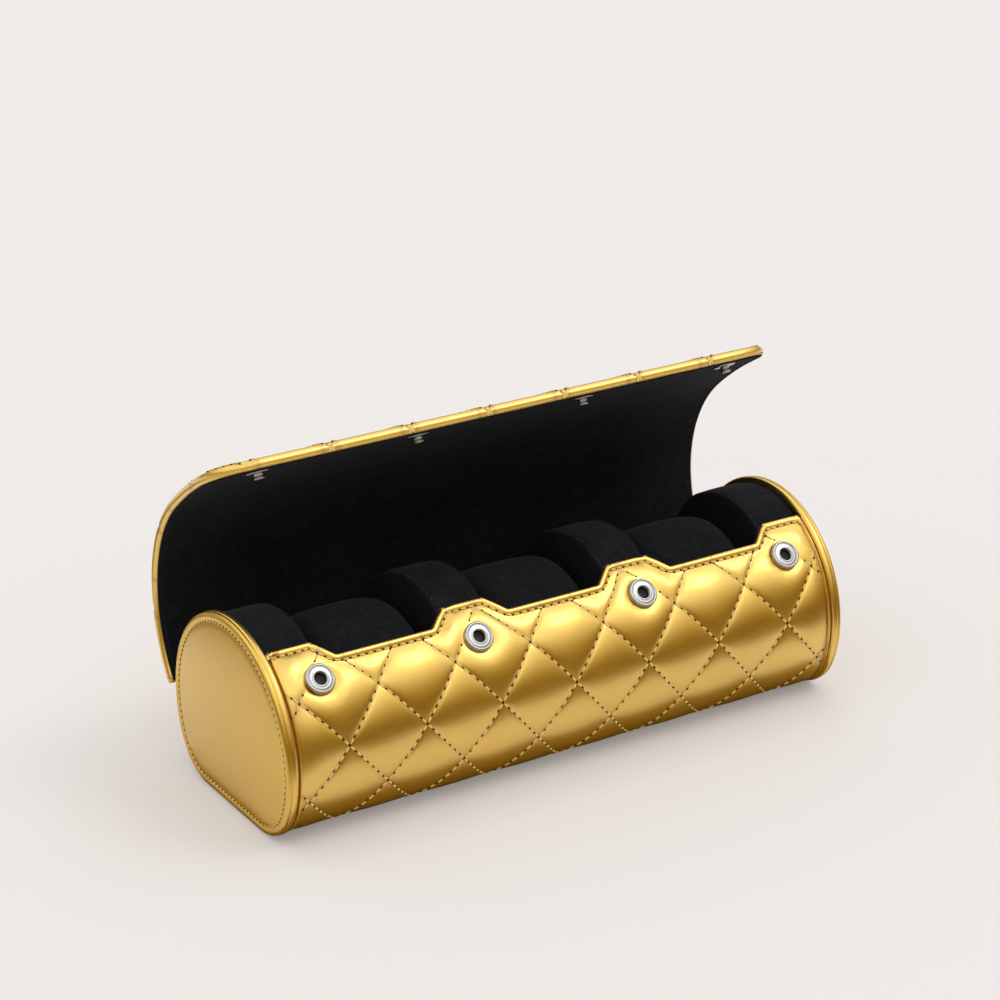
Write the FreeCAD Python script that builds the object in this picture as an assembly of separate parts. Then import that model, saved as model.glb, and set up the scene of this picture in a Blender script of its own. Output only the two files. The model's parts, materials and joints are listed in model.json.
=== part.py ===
"""Quilted watch roll: a flat-footed tub with padded ends, dividers and pillows, and a lid that snaps shut.

X runs along the case, -Y is the front, +Z is up. The origin is on the floor below the middle of the tub.
Sizes are in millimetres and angles in degrees. Angles in the section run from +Y over the top.
"""
import FreeCAD
import Part
import math
import os

# Section and length of the case
RIM_RADIUS = 40.0
AXIS_HEIGHT = 27.5
CORNER_RADIUS = 20.0
CASE_LENGTH = 218.0

# Piped rims and end caps
RIM_WIDTH = 3.2
RIM_DEPTH = 3.0
RIM_ROUND = 1.2
CAP_FACE_INSET = 0.3
CAP_COVER_THICKNESS = 1.2
CAP_COVER_ROUND = 0.9
CAP_BOARD_THICKNESS = 1.4

# Wall of the tub, from the outside in
COVER_INSET = 0.6
COVER_THICKNESS = 1.1
SHELL_THICKNESS = 0.9
LINING_THICKNESS = 0.4
BACK_EDGE_ANGLE = -4.0

# Front edge with its raised tabs
TAB_TOP_ANGLE = 117.5
VALLEY_ANGLE = 127.4
TAB_SLANT = 6.6
INNER_TAB_BASE = 28.8
END_TAB_BASE = 23.6

# Dividers and pillows
DIVIDER_WIDTH = 18.0
DIVIDER_WRAP = 0.8
PILLOW_RADIUS = 28.8
PILLOW_WIDTH = 33.5
PILLOW_END_ROUND = 6.5
PILLOW_CROWN = 0.8
PILLOW_SLEEVE = 1.0

# Lid, its bending flap and the strip that hinges it to the back
HINGE_OFFSET = 5.0
HINGE_HEIGHT = 25.6
HINGE_GAP = 0.12
STRIP_ANGLE = 16.0
STRIP_FOOT = 1.2
STRIP_FALL = 0.5
LID_LEAN_ANGLE = 36.4
LID_RADIUS = 48.6
LID_SPAN_ANGLE = 84.5
FLAP_RADIUS = 150.0
FLAP_LENGTH = 41.0
FLAP_CORNER = 13.0
FLEX_GAP = 0.3
LID_END_GAP = 0.2
LID_LINING_THICKNESS = 0.6
LID_BOARD_THICKNESS = 1.2
LID_COVER_THICKNESS = 2.2
LID_LINING_INSET = 1.4
LID_BOARD_INSET = 3.0

# Snap fasteners
SNAP_ANGLE = 137.3
OUTER_SNAP_INSET = 14.8
SOCKET_RADIUS = 4.75
SOCKET_HEIGHT = 1.3
SOCKET_LIP = 0.5
SOCKET_HOLE_RADIUS = 2.3
SOCKET_GROOVE_RADIUS = 2.6
SPRING_WIRE = 0.5
SPRING_OPENING_ANGLE = 60.0
EYELET_FLANGE_RADIUS = 4.4
EYELET_RADIUS = 2.8
EYELET_BORE_RADIUS = 2.3
STUD_EDGE_DISTANCE = 9.0
STUD_FLANGE_RADIUS = 3.9
STUD_FLANGE_THICKNESS = 0.5
STUD_HEIGHT = 2.6
STUD_RADIUS = 1.8
STUD_NECK_RADIUS = 1.5
STUD_BULB_HEIGHT = 0.9
RIVET_RADIUS = 1.0
RIVET_HEAD_RADIUS = 3.6
RIVET_HEAD_THICKNESS = 0.5

# Clearances
FIT = 0.1
SEAT = 0.2

HALF_LENGTH = CASE_LENGTH / 2
RIM_INNER_X = HALF_LENGTH - RIM_WIDTH
SHELL_INSET = COVER_INSET + COVER_THICKNESS
LINING_INSET = SHELL_INSET + SHELL_THICKNESS
CAVITY_INSET = LINING_INSET + LINING_THICKNESS
CAP_COVER_X = HALF_LENGTH - CAP_FACE_INSET
CAP_BOARD_X = CAP_COVER_X - CAP_COVER_THICKNESS
CAP_LINING_X = CAP_BOARD_X - CAP_BOARD_THICKNESS
CAVITY_X = CAP_LINING_X - LINING_THICKNESS
COMPARTMENT = (2 * (CAVITY_X - SEAT) - 4 * DIVIDER_WIDTH) / 3
DIVIDER_PITCH = DIVIDER_WIDTH + COMPARTMENT
LID_THICKNESS = LID_LINING_THICKNESS + LID_BOARD_THICKNESS + LID_COVER_THICKNESS
LID_HALF_LENGTH = HALF_LENGTH - LID_END_GAP
INNER_SNAP_X = DIVIDER_PITCH / 2
OUTER_SNAP_X = RIM_INNER_X - OUTER_SNAP_INSET
SNAP_PLACES = (-OUTER_SNAP_X, -INNER_SNAP_X, INNER_SNAP_X, OUTER_SNAP_X)


def point(x, y, z):
    """A position in the part's frame."""
    return FreeCAD.Vector(x, y, z)


def around(centre, radius, angle, x=0.0):
    """A point in the section plane at x, at an angle on a circle about a (y, z) centre."""
    turn = math.radians(angle)
    return point(x, centre[0] + radius * math.cos(turn), centre[1] + radius * math.sin(turn))


def arc(centre, radius, start, end, x=0.0):
    """A circular edge in the section plane, from one angle to another."""
    middle = around(centre, radius, (start + end) / 2, x)
    return Part.Arc(around(centre, radius, start, x), middle, around(centre, radius, end, x)).toShape()


def line(start, end):
    """A straight edge."""
    return Part.makeLine(start, end)


def prism(edges, x_low, x_high):
    """The solid that a closed section outline sweeps along X."""
    face = Part.Face(Part.Wire(Part.__sortEdges__(edges)))
    face.translate(point(x_low, 0, 0))
    return face.extrude(point(x_high - x_low, 0, 0))


AXIS = (0.0, AXIS_HEIGHT)


def tub_path(side, floor, front_angle, back_angle):
    """Edges of the case's section from the front edge under the case to the back edge.

    The round part lies inside the rim's outline by the side inset, and the flat base above the floor.
    """
    radius = RIM_RADIUS - side
    corner = CORNER_RADIUS - floor
    drop = AXIS_HEIGHT - CORNER_RADIUS
    half_flat = math.sqrt((radius - corner) ** 2 - drop ** 2)
    tangent = -math.degrees(math.atan2(drop, half_flat))
    front = (-half_flat, CORNER_RADIUS)
    back = (half_flat, CORNER_RADIUS)
    return [
        arc(AXIS, radius, front_angle, 180 - tangent),
        arc(front, corner, 180 - tangent, 270),
        line(around(front, corner, 270), around(back, corner, 270)),
        arc(back, corner, -90, tangent),
        arc(AXIS, radius, tangent, back_angle),
    ]


def disc(side, floor, x_low, x_high):
    """A plate with the case's whole section: round on top, flat below."""
    return prism(tub_path(side, floor, 90, 90), x_low, x_high)


def tub_wall(outer, inner):
    """One layer of the tub's wall, open on top between the tabs' height and the back edge."""
    edges = tub_path(outer, outer - COVER_INSET, TAB_TOP_ANGLE, BACK_EDGE_ANGLE)
    edges += tub_path(inner, inner - COVER_INSET, TAB_TOP_ANGLE, BACK_EDGE_ANGLE)
    for angle in (TAB_TOP_ANGLE, BACK_EDGE_ANGLE):
        outside = around(AXIS, RIM_RADIUS - outer, angle)
        inside = around(AXIS, RIM_RADIUS - inner, angle)
        edges.append(line(outside, inside))
    return prism(edges, SEAT - RIM_INNER_X, RIM_INNER_X - SEAT)


def snap_frame(x, distance):
    """A place at a distance from the section's axis at a snap, and the direction outwards there."""
    turn = math.radians(SNAP_ANGLE)
    return around(AXIS, distance, SNAP_ANGLE, x), point(0, math.cos(turn), math.sin(turn))


def radial_tool(x, radius, low, high):
    """A cylinder through the front panel at a snap, between two distances from the section's axis."""
    base, outward = snap_frame(x, low)
    return Part.makeCylinder(radius, high - low, base, outward)


def valley_tools():
    """Prisms that cut the front edge down between the tabs, with the tabs' slanted sides."""
    middle_angle = (TAB_TOP_ANGLE + VALLEY_ANGLE) / 2
    turn = math.radians(middle_angle)
    outward = point(0, math.cos(turn), math.sin(turn))
    upward = point(0, math.sin(turn), -math.cos(turn))
    rise = RIM_RADIUS * math.radians(VALLEY_ANGLE - TAB_TOP_ANGLE) / 2
    reach = 4 * rise
    slant = TAB_SLANT * (reach + rise) / (2 * rise)
    inner_near = INNER_SNAP_X - INNER_TAB_BASE / 2
    inner_far = INNER_SNAP_X + INNER_TAB_BASE / 2
    end_near = RIM_INNER_X - END_TAB_BASE
    floor = around(AXIS, RIM_RADIUS - 2 * RIM_DEPTH, middle_angle)
    tools = []
    for low, high in ((-end_near, -inner_far), (-inner_near, inner_near), (inner_far, end_near)):
        corners = [(low, -rise), (high, -rise), (high + slant, reach), (low - slant, reach)]
        outline = [floor + point(x, 0, 0) + upward * height for x, height in corners]
        face = Part.Face(Part.makePolygon(outline + outline[:1]))
        tools.append(face.extrude(outward * 4 * RIM_DEPTH))
    return tools


def pierced_wall(outer, inner, hole_radius):
    """A layer of the tub's wall with its tabs, and a hole at each snap."""
    wall = tub_wall(outer, inner).cut(valley_tools())
    return wall.cut([radial_tool(x, hole_radius + FIT, RIM_RADIUS / 2, 2 * RIM_RADIUS) for x in SNAP_PLACES])


def body_cover():
    """Leather round the outside of the tub, flush with the rims underneath."""
    return pierced_wall(COVER_INSET, SHELL_INSET, EYELET_RADIUS)


def body_shell():
    """Stiff board inside the cover that gives the tub its shape."""
    return pierced_wall(SHELL_INSET, LINING_INSET, EYELET_RADIUS)


def body_lining():
    """Suede inside the tub, cut away round the eyelets' flanges."""
    return pierced_wall(LINING_INSET, CAVITY_INSET, EYELET_FLANGE_RADIUS)


def face_edges(plate):
    """The edges of a plate that lie in its two flat faces."""
    return [edge for edge in plate.Edges if edge.BoundBox.XLength < FIT]


def cap_piping():
    """Rounded rim round an end, standing proud of the cover on the sides and top."""
    plate = disc(0.0, 0.0, RIM_INNER_X, HALF_LENGTH)
    bead = plate.makeFillet(RIM_ROUND, face_edges(plate))
    return bead.cut(disc(RIM_DEPTH, RIM_DEPTH, RIM_INNER_X - FIT, HALF_LENGTH + FIT))


def cap_plate(x_low, x_high):
    """A plate that fits inside the piped rim of an end."""
    return disc(RIM_DEPTH + FIT, RIM_DEPTH + FIT, x_low, x_high)


def cap_cover():
    """Leather face of an end, softened at its edge."""
    plate = cap_plate(CAP_BOARD_X, CAP_COVER_X)
    edges = [edge for edge in face_edges(plate) if edge.BoundBox.XMin > CAP_COVER_X - FIT]
    return plate.makeFillet(CAP_COVER_ROUND, edges)


def cap_board():
    """Stiff end board behind the leather face."""
    return cap_plate(CAP_LINING_X, CAP_BOARD_X)


def cap_lining():
    """Suede on the inside of an end."""
    return cap_plate(CAVITY_X, CAP_LINING_X)


def mirrored(shape):
    """The same piece at the other end of the case."""
    return shape.mirror(point(0, 0, 0), point(1, 0, 0))


def divider_centres():
    """Middles of the dividers along X: one against each end, two between the pillows."""
    return [(index - 1.5) * DIVIDER_PITCH for index in range(4)]


def divider_solid(inset, half_width, centre):
    """A divider's outline, with its edges kept inside the tub's lining."""
    side = CAVITY_INSET + SEAT + inset
    return disc(side, side - COVER_INSET, centre - half_width, centre + half_width)


def divider_core(centre):
    """Foam block inside a divider."""
    return divider_solid(DIVIDER_WRAP, DIVIDER_WIDTH / 2 - DIVIDER_WRAP, centre)


def divider_wrap(centre):
    """Suede sewn round a divider's foam."""
    return divider_solid(0.0, DIVIDER_WIDTH / 2, centre).cut(divider_core(centre))


def pillow_centres():
    """Middles of the pillows along X, one in each compartment."""
    return [(index - 1) * DIVIDER_PITCH for index in range(3)]


PILLOW_HEIGHT = CAVITY_INSET - COVER_INSET + SEAT + PILLOW_RADIUS


def pillow_solid(inset, centre):
    """A crowned roll with soft round ends, lying on the tub's lining."""
    half = PILLOW_WIDTH / 2 - inset
    crown = PILLOW_RADIUS - inset
    shoulder = crown - PILLOW_CROWN
    soft = PILLOW_END_ROUND - inset
    bow = soft * math.sqrt(0.5)
    near = half - soft
    deep = shoulder - soft

    def at(x, radius):
        return point(centre + x, 0, PILLOW_HEIGHT + radius)

    outline = [
        line(at(-half, 0), at(-half, deep)),
        Part.Arc(at(-half, deep), at(-near - bow, deep + bow), at(-near, shoulder)).toShape(),
        Part.Arc(at(-near, shoulder), at(0, crown), at(near, shoulder)).toShape(),
        Part.Arc(at(near, shoulder), at(near + bow, deep + bow), at(half, deep)).toShape(),
        line(at(half, deep), at(half, 0)),
        line(at(half, 0), at(-half, 0)),
    ]
    face = Part.Face(Part.Wire(outline))
    return face.revolve(at(0, 0), point(1, 0, 0), 360)


def pillow_core(centre):
    """Foam roll inside a pillow."""
    return pillow_solid(PILLOW_SLEEVE, centre)


def pillow_sleeve(centre):
    """Suede sleeve of a pillow."""
    return pillow_solid(0.0, centre).cut(pillow_core(centre))


HINGE = (RIM_RADIUS + HINGE_OFFSET, HINGE_HEIGHT)
LID_OUTER = LID_RADIUS + LID_THICKNESS
LID_START = -LID_LEAN_ANGLE
LID_END = LID_SPAN_ANGLE - LID_LEAN_ANGLE
FLAP_SPAN = math.degrees(FLAP_LENGTH / FLAP_RADIUS)
FLAP_END = LID_END + FLAP_SPAN


def centre_behind(place, radius, angle):
    """Centre of the arc that passes through a (y, z) place at an angle."""
    found = around(place, -radius, angle)
    return (found.y, found.z)


LID_CENTRE = centre_behind(HINGE, LID_OUTER, LID_START)
FLEX_POINT = around(LID_CENTRE, LID_RADIUS, LID_END)
FLEX_LINE = (FLEX_POINT.y, FLEX_POINT.z)
FLAP_CENTRE = centre_behind(FLEX_LINE, FLAP_RADIUS, LID_END)


def curved_plate(centre, inner, outer, start, end, half_length):
    """A plate bent round a (y, z) centre between two radii and two angles."""
    outline = [
        arc(centre, inner, start, end),
        line(around(centre, inner, end), around(centre, outer, end)),
        arc(centre, outer, start, end),
        line(around(centre, inner, start), around(centre, outer, start)),
    ]
    return prism(outline, -half_length, half_length)


def rounded_ends(plate, centre, angle, radius):
    """The plate with the two corners of its free edge rounded."""
    corners = []
    for edge in plate.Edges:
        middle = edge.CenterOfMass
        turn = math.degrees(math.atan2(middle.z - centre[1], middle.y - centre[0]))
        across = edge.BoundBox.XLength < FIT
        if across and edge.Curve.TypeId == "Part::GeomLine" and abs(turn - angle) < FIT:
            corners.append(edge)
    return plate.makeFillet(radius, corners)


def lid_layer(low, high, inset, start_gap):
    """One layer of the lid, by its heights above the lining's face."""
    start = LID_START + math.degrees(start_gap / LID_RADIUS)
    half_length = LID_HALF_LENGTH - inset
    return curved_plate(LID_CENTRE, LID_RADIUS + low, LID_RADIUS + high, start, LID_END, half_length)


def flap_layer(low, high, inset):
    """One layer of the flap, with its free corners rounded."""
    start = LID_END + math.degrees(FLEX_GAP / FLAP_RADIUS)
    end = FLAP_END - math.degrees(inset / FLAP_RADIUS)
    half_length = LID_HALF_LENGTH - inset
    plate = curved_plate(FLAP_CENTRE, FLAP_RADIUS + low, FLAP_RADIUS + high, start, end, half_length)
    return rounded_ends(plate, FLAP_CENTRE, end, FLAP_CORNER - inset)


BOARD_LOW = LID_LINING_THICKNESS
BOARD_HIGH = LID_LINING_THICKNESS + LID_BOARD_THICKNESS


def lid_lining():
    """Suede inside the lid."""
    return lid_layer(0.0, BOARD_LOW, LID_LINING_INSET, HINGE_GAP)


def lid_board():
    """Stiff curved board inside the lid."""
    return lid_layer(BOARD_LOW, BOARD_HIGH, LID_BOARD_INSET, LID_BOARD_INSET)


def lid_cover():
    """Padded leather outside the lid, turned in over the board's edges."""
    whole = lid_layer(0.0, LID_THICKNESS, 0.0, HINGE_GAP)
    return whole.cut([lid_lining(), lid_board()])


def stud_angle():
    """Where the studs stand on the flap's arc."""
    return FLAP_END - math.degrees(STUD_EDGE_DISTANCE / FLAP_RADIUS)


def flap_frame(x, height):
    """A place over a stud's seat and the direction out of the lining there."""
    angle = stud_angle()
    turn = math.radians(angle)
    inward = point(0, -math.cos(turn), -math.sin(turn))
    return around(FLAP_CENTRE, FLAP_RADIUS, angle, x) + inward * height, inward


def flap_tools(radius, low, high):
    """Cylinders through the flap at the studs, between two heights over the lining."""
    tools = []
    for x in SNAP_PLACES:
        base, inward = flap_frame(x, low)
        tools.append(Part.makeCylinder(radius, high - low, base, inward))
    return tools


def flap_lining():
    """Suede inside the flap, pierced by the rivets."""
    layer = flap_layer(0.0, BOARD_LOW, LID_LINING_INSET)
    return layer.cut(flap_tools(RIVET_RADIUS + FIT, -LID_THICKNESS, LID_THICKNESS))


def flap_board():
    """Springy board inside the flap, pierced by the rivets."""
    layer = flap_layer(BOARD_LOW, BOARD_HIGH, LID_BOARD_INSET)
    return layer.cut(flap_tools(RIVET_RADIUS + FIT, -LID_THICKNESS, LID_THICKNESS))


def flap_cover():
    """Padded leather outside the flap, with pockets for the rivets' heads."""
    whole = flap_layer(0.0, LID_THICKNESS, 0.0)
    lining = flap_layer(0.0, BOARD_LOW, LID_LINING_INSET)
    board = flap_layer(BOARD_LOW, BOARD_HIGH, LID_BOARD_INSET)
    pocket = -BOARD_HIGH - RIVET_HEAD_THICKNESS - 2 * FIT
    return whole.cut([lining, board]).cut(flap_tools(RIVET_HEAD_RADIUS + FIT, pocket, 0.0))


def hinge_strip():
    """Padded leather sewn to the tub's back, which carries the lid's hinge line."""
    inner = RIM_RADIUS + SEAT
    top = math.degrees(math.asin((HINGE_HEIGHT - HINGE_GAP - AXIS_HEIGHT) / HINGE[0]))
    inner_top = math.degrees(math.asin((HINGE_HEIGHT - STRIP_FALL - AXIS_HEIGHT) / inner))
    foot = top - STRIP_ANGLE
    outer_top = around(AXIS, HINGE[0], top)
    outer_foot = around(AXIS, inner + STRIP_FOOT, foot)
    outer_middle = around(AXIS, (HINGE[0] + inner + STRIP_FOOT) / 2 + STRIP_FOOT / 2, (top + foot) / 2)
    outline = [
        arc(AXIS, inner, foot, inner_top),
        line(around(AXIS, inner, inner_top), outer_top),
        Part.Arc(outer_top, outer_middle, outer_foot).toShape(),
        line(outer_foot, around(AXIS, inner, foot)),
    ]
    return prism(outline, -LID_HALF_LENGTH, LID_HALF_LENGTH)


def turned(profile, base, direction):
    """A round piece from (radius, height) corners, standing on a base and pointing along a direction."""
    side = direction.cross(point(1, 0, 0))
    corners = [base + side * radius + direction * height for radius, height in profile]
    face = Part.Face(Part.makePolygon(corners + corners[:1]))
    return face.revolve(base, direction, 360)


SOCKET_SEAT = RIM_RADIUS - COVER_INSET + FIT / 2


def snap_sockets():
    """Socket rings on the front panel, each with a groove for its spring."""
    groove_top = SOCKET_HEIGHT - SOCKET_LIP
    groove_floor = groove_top - SPRING_WIRE - FIT
    profile = [
        (EYELET_RADIUS + FIT, 0.0),
        (SOCKET_RADIUS, 0.0),
        (SOCKET_RADIUS, SOCKET_HEIGHT / 2),
        (SOCKET_RADIUS - SOCKET_LIP, SOCKET_HEIGHT),
        (SOCKET_HOLE_RADIUS + SOCKET_LIP / 2, SOCKET_HEIGHT),
        (SOCKET_HOLE_RADIUS, SOCKET_HEIGHT - SOCKET_LIP / 2),
        (SOCKET_HOLE_RADIUS, groove_top),
        (SOCKET_GROOVE_RADIUS, groove_top),
        (SOCKET_GROOVE_RADIUS, groove_floor),
        (EYELET_RADIUS + FIT, groove_floor),
    ]
    return Part.makeCompound([turned(profile, *snap_frame(x, SOCKET_SEAT)) for x in SNAP_PLACES])


def snap_springs():
    """Open ring springs that lie in the sockets' grooves and grip the studs."""
    middle = SOCKET_GROOVE_RADIUS - FIT - SPRING_WIRE / 2
    height = SOCKET_HEIGHT - SOCKET_LIP - SPRING_WIRE / 2 - FIT / 2
    sweep = 360 - SPRING_OPENING_ANGLE
    springs = []
    for x in SNAP_PLACES:
        base, outward = snap_frame(x, SOCKET_SEAT + height)
        springs.append(Part.makeTorus(middle, SPRING_WIRE / 2, base, outward, 0, 360, sweep))
    return Part.makeCompound(springs)


def snap_eyelets():
    """Flanged tubes that hold the sockets from inside the front panel."""
    flange_low = RIM_RADIUS - CAVITY_INSET
    flange_high = RIM_RADIUS - LINING_INSET
    top = SOCKET_SEAT + SOCKET_HEIGHT - SOCKET_LIP - SPRING_WIRE - 3 * FIT
    layer = Part.makeCylinder(flange_high, CASE_LENGTH, point(-HALF_LENGTH, 0, AXIS_HEIGHT), point(1, 0, 0))
    hollow = Part.makeCylinder(flange_low, CASE_LENGTH, point(-HALF_LENGTH, 0, AXIS_HEIGHT), point(1, 0, 0))
    skin = layer.cut(hollow)
    eyelets = []
    for x in SNAP_PLACES:
        flange = radial_tool(x, EYELET_FLANGE_RADIUS, flange_low / 2, top).common(skin)
        tube = radial_tool(x, EYELET_RADIUS, flange_low + FIT, top)
        bore = radial_tool(x, EYELET_BORE_RADIUS, flange_low / 2, 2 * RIM_RADIUS)
        eyelets.append(flange.fuse(tube).cut(bore).removeSplitter())
    return Part.makeCompound(eyelets)


def snap_studs():
    """Studs on the flap that press into the sockets."""
    tip = STUD_HEIGHT
    bulb = STUD_HEIGHT - STUD_BULB_HEIGHT
    profile = [
        (RIVET_RADIUS + FIT, 0.0),
        (STUD_FLANGE_RADIUS, 0.0),
        (STUD_FLANGE_RADIUS, STUD_FLANGE_THICKNESS / 2),
        (STUD_FLANGE_RADIUS - STUD_FLANGE_THICKNESS / 2, STUD_FLANGE_THICKNESS),
        (STUD_NECK_RADIUS, STUD_FLANGE_THICKNESS),
        (STUD_NECK_RADIUS, bulb),
        (STUD_RADIUS, bulb + STUD_BULB_HEIGHT / 3),
        (STUD_RADIUS, tip - STUD_BULB_HEIGHT / 3),
        (STUD_NECK_RADIUS, tip),
        (0.0, tip),
        (0.0, tip - STUD_BULB_HEIGHT / 2),
        (RIVET_RADIUS + FIT, tip - STUD_BULB_HEIGHT / 2),
    ]
    return Part.makeCompound([turned(profile, *flap_frame(x, FIT)) for x in SNAP_PLACES])


def snap_rivets():
    """Headed pins under the flap's leather that hold the studs."""
    head_low = -BOARD_HIGH - RIVET_HEAD_THICKNESS - FIT
    pin_top = STUD_HEIGHT - STUD_BULB_HEIGHT / 2
    profile = [
        (0.0, head_low),
        (RIVET_HEAD_RADIUS, head_low),
        (RIVET_HEAD_RADIUS, head_low + RIVET_HEAD_THICKNESS),
        (RIVET_RADIUS, head_low + RIVET_HEAD_THICKNESS),
        (RIVET_RADIUS, pin_top),
        (0.0, pin_top),
    ]
    return Part.makeCompound([turned(profile, *flap_frame(x, 0.0)) for x in SNAP_PLACES])


def all_pieces():
    """Every piece by its node name, as the case would come apart on a bench."""
    pieces = {
        "body_cover": body_cover(),
        "body_shell": body_shell(),
        "body_lining": body_lining(),
        "hinge_strip": hinge_strip(),
        "front_snap_sockets": snap_sockets(),
        "front_snap_springs": snap_springs(),
        "front_snap_eyelets": snap_eyelets(),
        "lid_lining": lid_lining(),
        "lid_board": lid_board(),
        "lid_cover": lid_cover(),
        "flap_lining": flap_lining(),
        "flap_board": flap_board(),
        "flap_cover": flap_cover(),
        "flap_snap_studs": snap_studs(),
        "flap_snap_rivets": snap_rivets(),
    }
    caps = {"piping": cap_piping(), "cover": cap_cover(), "board": cap_board(), "lining": cap_lining()}
    for name, piece in caps.items():
        pieces["right_cap_" + name] = piece
        pieces["left_cap_" + name] = mirrored(piece)
    for number, centre in enumerate(divider_centres(), 1):
        pieces["divider_%d_core" % number] = divider_core(centre)
        pieces["divider_%d_wrap" % number] = divider_wrap(centre)
    for number, centre in enumerate(pillow_centres(), 1):
        pieces["pillow_%d_core" % number] = pillow_core(centre)
        pieces["pillow_%d_sleeve" % number] = pillow_sleeve(centre)
    return pieces


def main():
    """Builds every piece and writes it to its own file."""
    os.makedirs("parts", exist_ok=True)
    for name, shape in all_pieces().items():
        if not shape.isValid():
            print("not valid:", name)
        print(name, len(shape.Solids), round(shape.Volume, 1))
        shape.exportStep("parts/%s.step" % name)


main()
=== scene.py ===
"""A three-pillow watch roll in quilted gold leather with a black suede inside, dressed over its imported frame.

Leather patterns are cut flat in millimetres, as x along the case, s along a section and h above it.
They are then wrapped onto the section, and leave this file in metres.
"""
from __future__ import annotations

import json
import logging
import math
from dataclasses import dataclass, field
from enum import Enum
from typing import Callable, Iterable, Sequence

import bmesh
import bpy
import numpy as np
from mathutils import Matrix, Vector

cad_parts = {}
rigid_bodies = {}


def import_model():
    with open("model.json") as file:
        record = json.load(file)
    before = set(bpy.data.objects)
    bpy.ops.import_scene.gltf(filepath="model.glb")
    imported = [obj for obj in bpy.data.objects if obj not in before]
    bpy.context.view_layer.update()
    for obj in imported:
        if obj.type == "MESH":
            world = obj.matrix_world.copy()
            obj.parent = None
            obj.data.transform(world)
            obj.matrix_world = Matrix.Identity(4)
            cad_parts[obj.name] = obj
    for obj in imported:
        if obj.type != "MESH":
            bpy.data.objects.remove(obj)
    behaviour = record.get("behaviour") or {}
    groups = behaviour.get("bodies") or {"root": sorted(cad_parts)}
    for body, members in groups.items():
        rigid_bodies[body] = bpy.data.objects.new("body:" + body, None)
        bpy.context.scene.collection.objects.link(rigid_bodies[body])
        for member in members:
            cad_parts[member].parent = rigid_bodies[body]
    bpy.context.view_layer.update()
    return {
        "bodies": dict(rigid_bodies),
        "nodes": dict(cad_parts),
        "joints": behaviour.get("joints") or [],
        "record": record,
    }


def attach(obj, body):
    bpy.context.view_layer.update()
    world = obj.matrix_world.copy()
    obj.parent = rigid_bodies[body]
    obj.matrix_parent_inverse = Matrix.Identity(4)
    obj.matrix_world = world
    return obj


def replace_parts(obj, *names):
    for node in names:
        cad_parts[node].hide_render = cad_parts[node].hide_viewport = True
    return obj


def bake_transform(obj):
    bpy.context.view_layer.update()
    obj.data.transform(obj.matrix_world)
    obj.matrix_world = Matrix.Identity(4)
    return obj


LOG = logging.getLogger("watch_roll")
MM = 0.001

# Sizes that several pieces share, in millimetres and degrees, with places across the case in y and z
COMPARTMENT = 193 / 3
RIM_RADIUS = 40.0
CORNER_RADIUS = 20.0
AXIS = (0.0, 27.5)
END_MIDDLE = np.array((0.0, 29.0))
COVER_INSET = 0.6
FRONT_EDGE = 117.5
BACK_EDGE = -4.0
SNAP_PLACES = (-91.0, -COMPARTMENT / 2, COMPARTMENT / 2, 91.0)
SNAP_ANGLE = 137.3
HINGE = (45.0, 25.6)
LID_RADIUS = 48.6
LID_THICKNESS = 4.0
LID_START = -36.4
LID_END = 48.1
FLEX = (35.1192, 92.9874)
FLAP_RADIUS = 150.0
FLAP_LENGTH = 41.0
FLAP_END = LID_END + math.degrees(FLAP_LENGTH / FLAP_RADIUS)

# How far the rounding of a corner reaches along its sides, in radii
CORNER_REACH = 1.35

Colour = tuple[float, float, float]
OnRows = Callable[[np.ndarray], np.ndarray]


class Body(Enum):
    """The bodies of the frame that a piece can ride on."""

    CASE = "case"
    LID = "lid"
    FLAP = "flap"


class Slot(Enum):
    """The record's material slots."""

    GOLD = "gold_leather"
    SUEDE = "black_suede"
    METAL = "snap_metal"


class Side(Enum):
    """The two ends of the case, by the sign of x."""

    LEFT = -1
    RIGHT = 1


# Shader maths


class Value:
    """One output socket of a node tree, with arithmetic that adds Math nodes."""

    def __init__(self, tree: Tree, socket: bpy.types.NodeSocket) -> None:
        """Keep the socket and the tree that it belongs to."""
        self.tree = tree
        self.socket = socket

    def _math(self, operation: str, first: object, second: object) -> Value:
        """Add a Math node.

        Args:
            operation: The Math node's operation.
            first: A value or a number.
            second: A value or a number.

        Returns:
            The node's result.
        """
        return self.tree.node("ShaderNodeMath", {"operation": operation}, {0: first, 1: second})

    def __add__(self, other: object) -> Value:
        """Sum."""
        return self._math("ADD", self, other)

    def __radd__(self, other: object) -> Value:
        """Sum, from the right."""
        return self._math("ADD", other, self)

    def __sub__(self, other: object) -> Value:
        """Difference."""
        return self._math("SUBTRACT", self, other)

    def __rsub__(self, other: object) -> Value:
        """Difference, from the right."""
        return self._math("SUBTRACT", other, self)

    def __mul__(self, other: object) -> Value:
        """Product."""
        return self._math("MULTIPLY", self, other)

    def __rmul__(self, other: object) -> Value:
        """Product, from the right."""
        return self._math("MULTIPLY", other, self)


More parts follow.
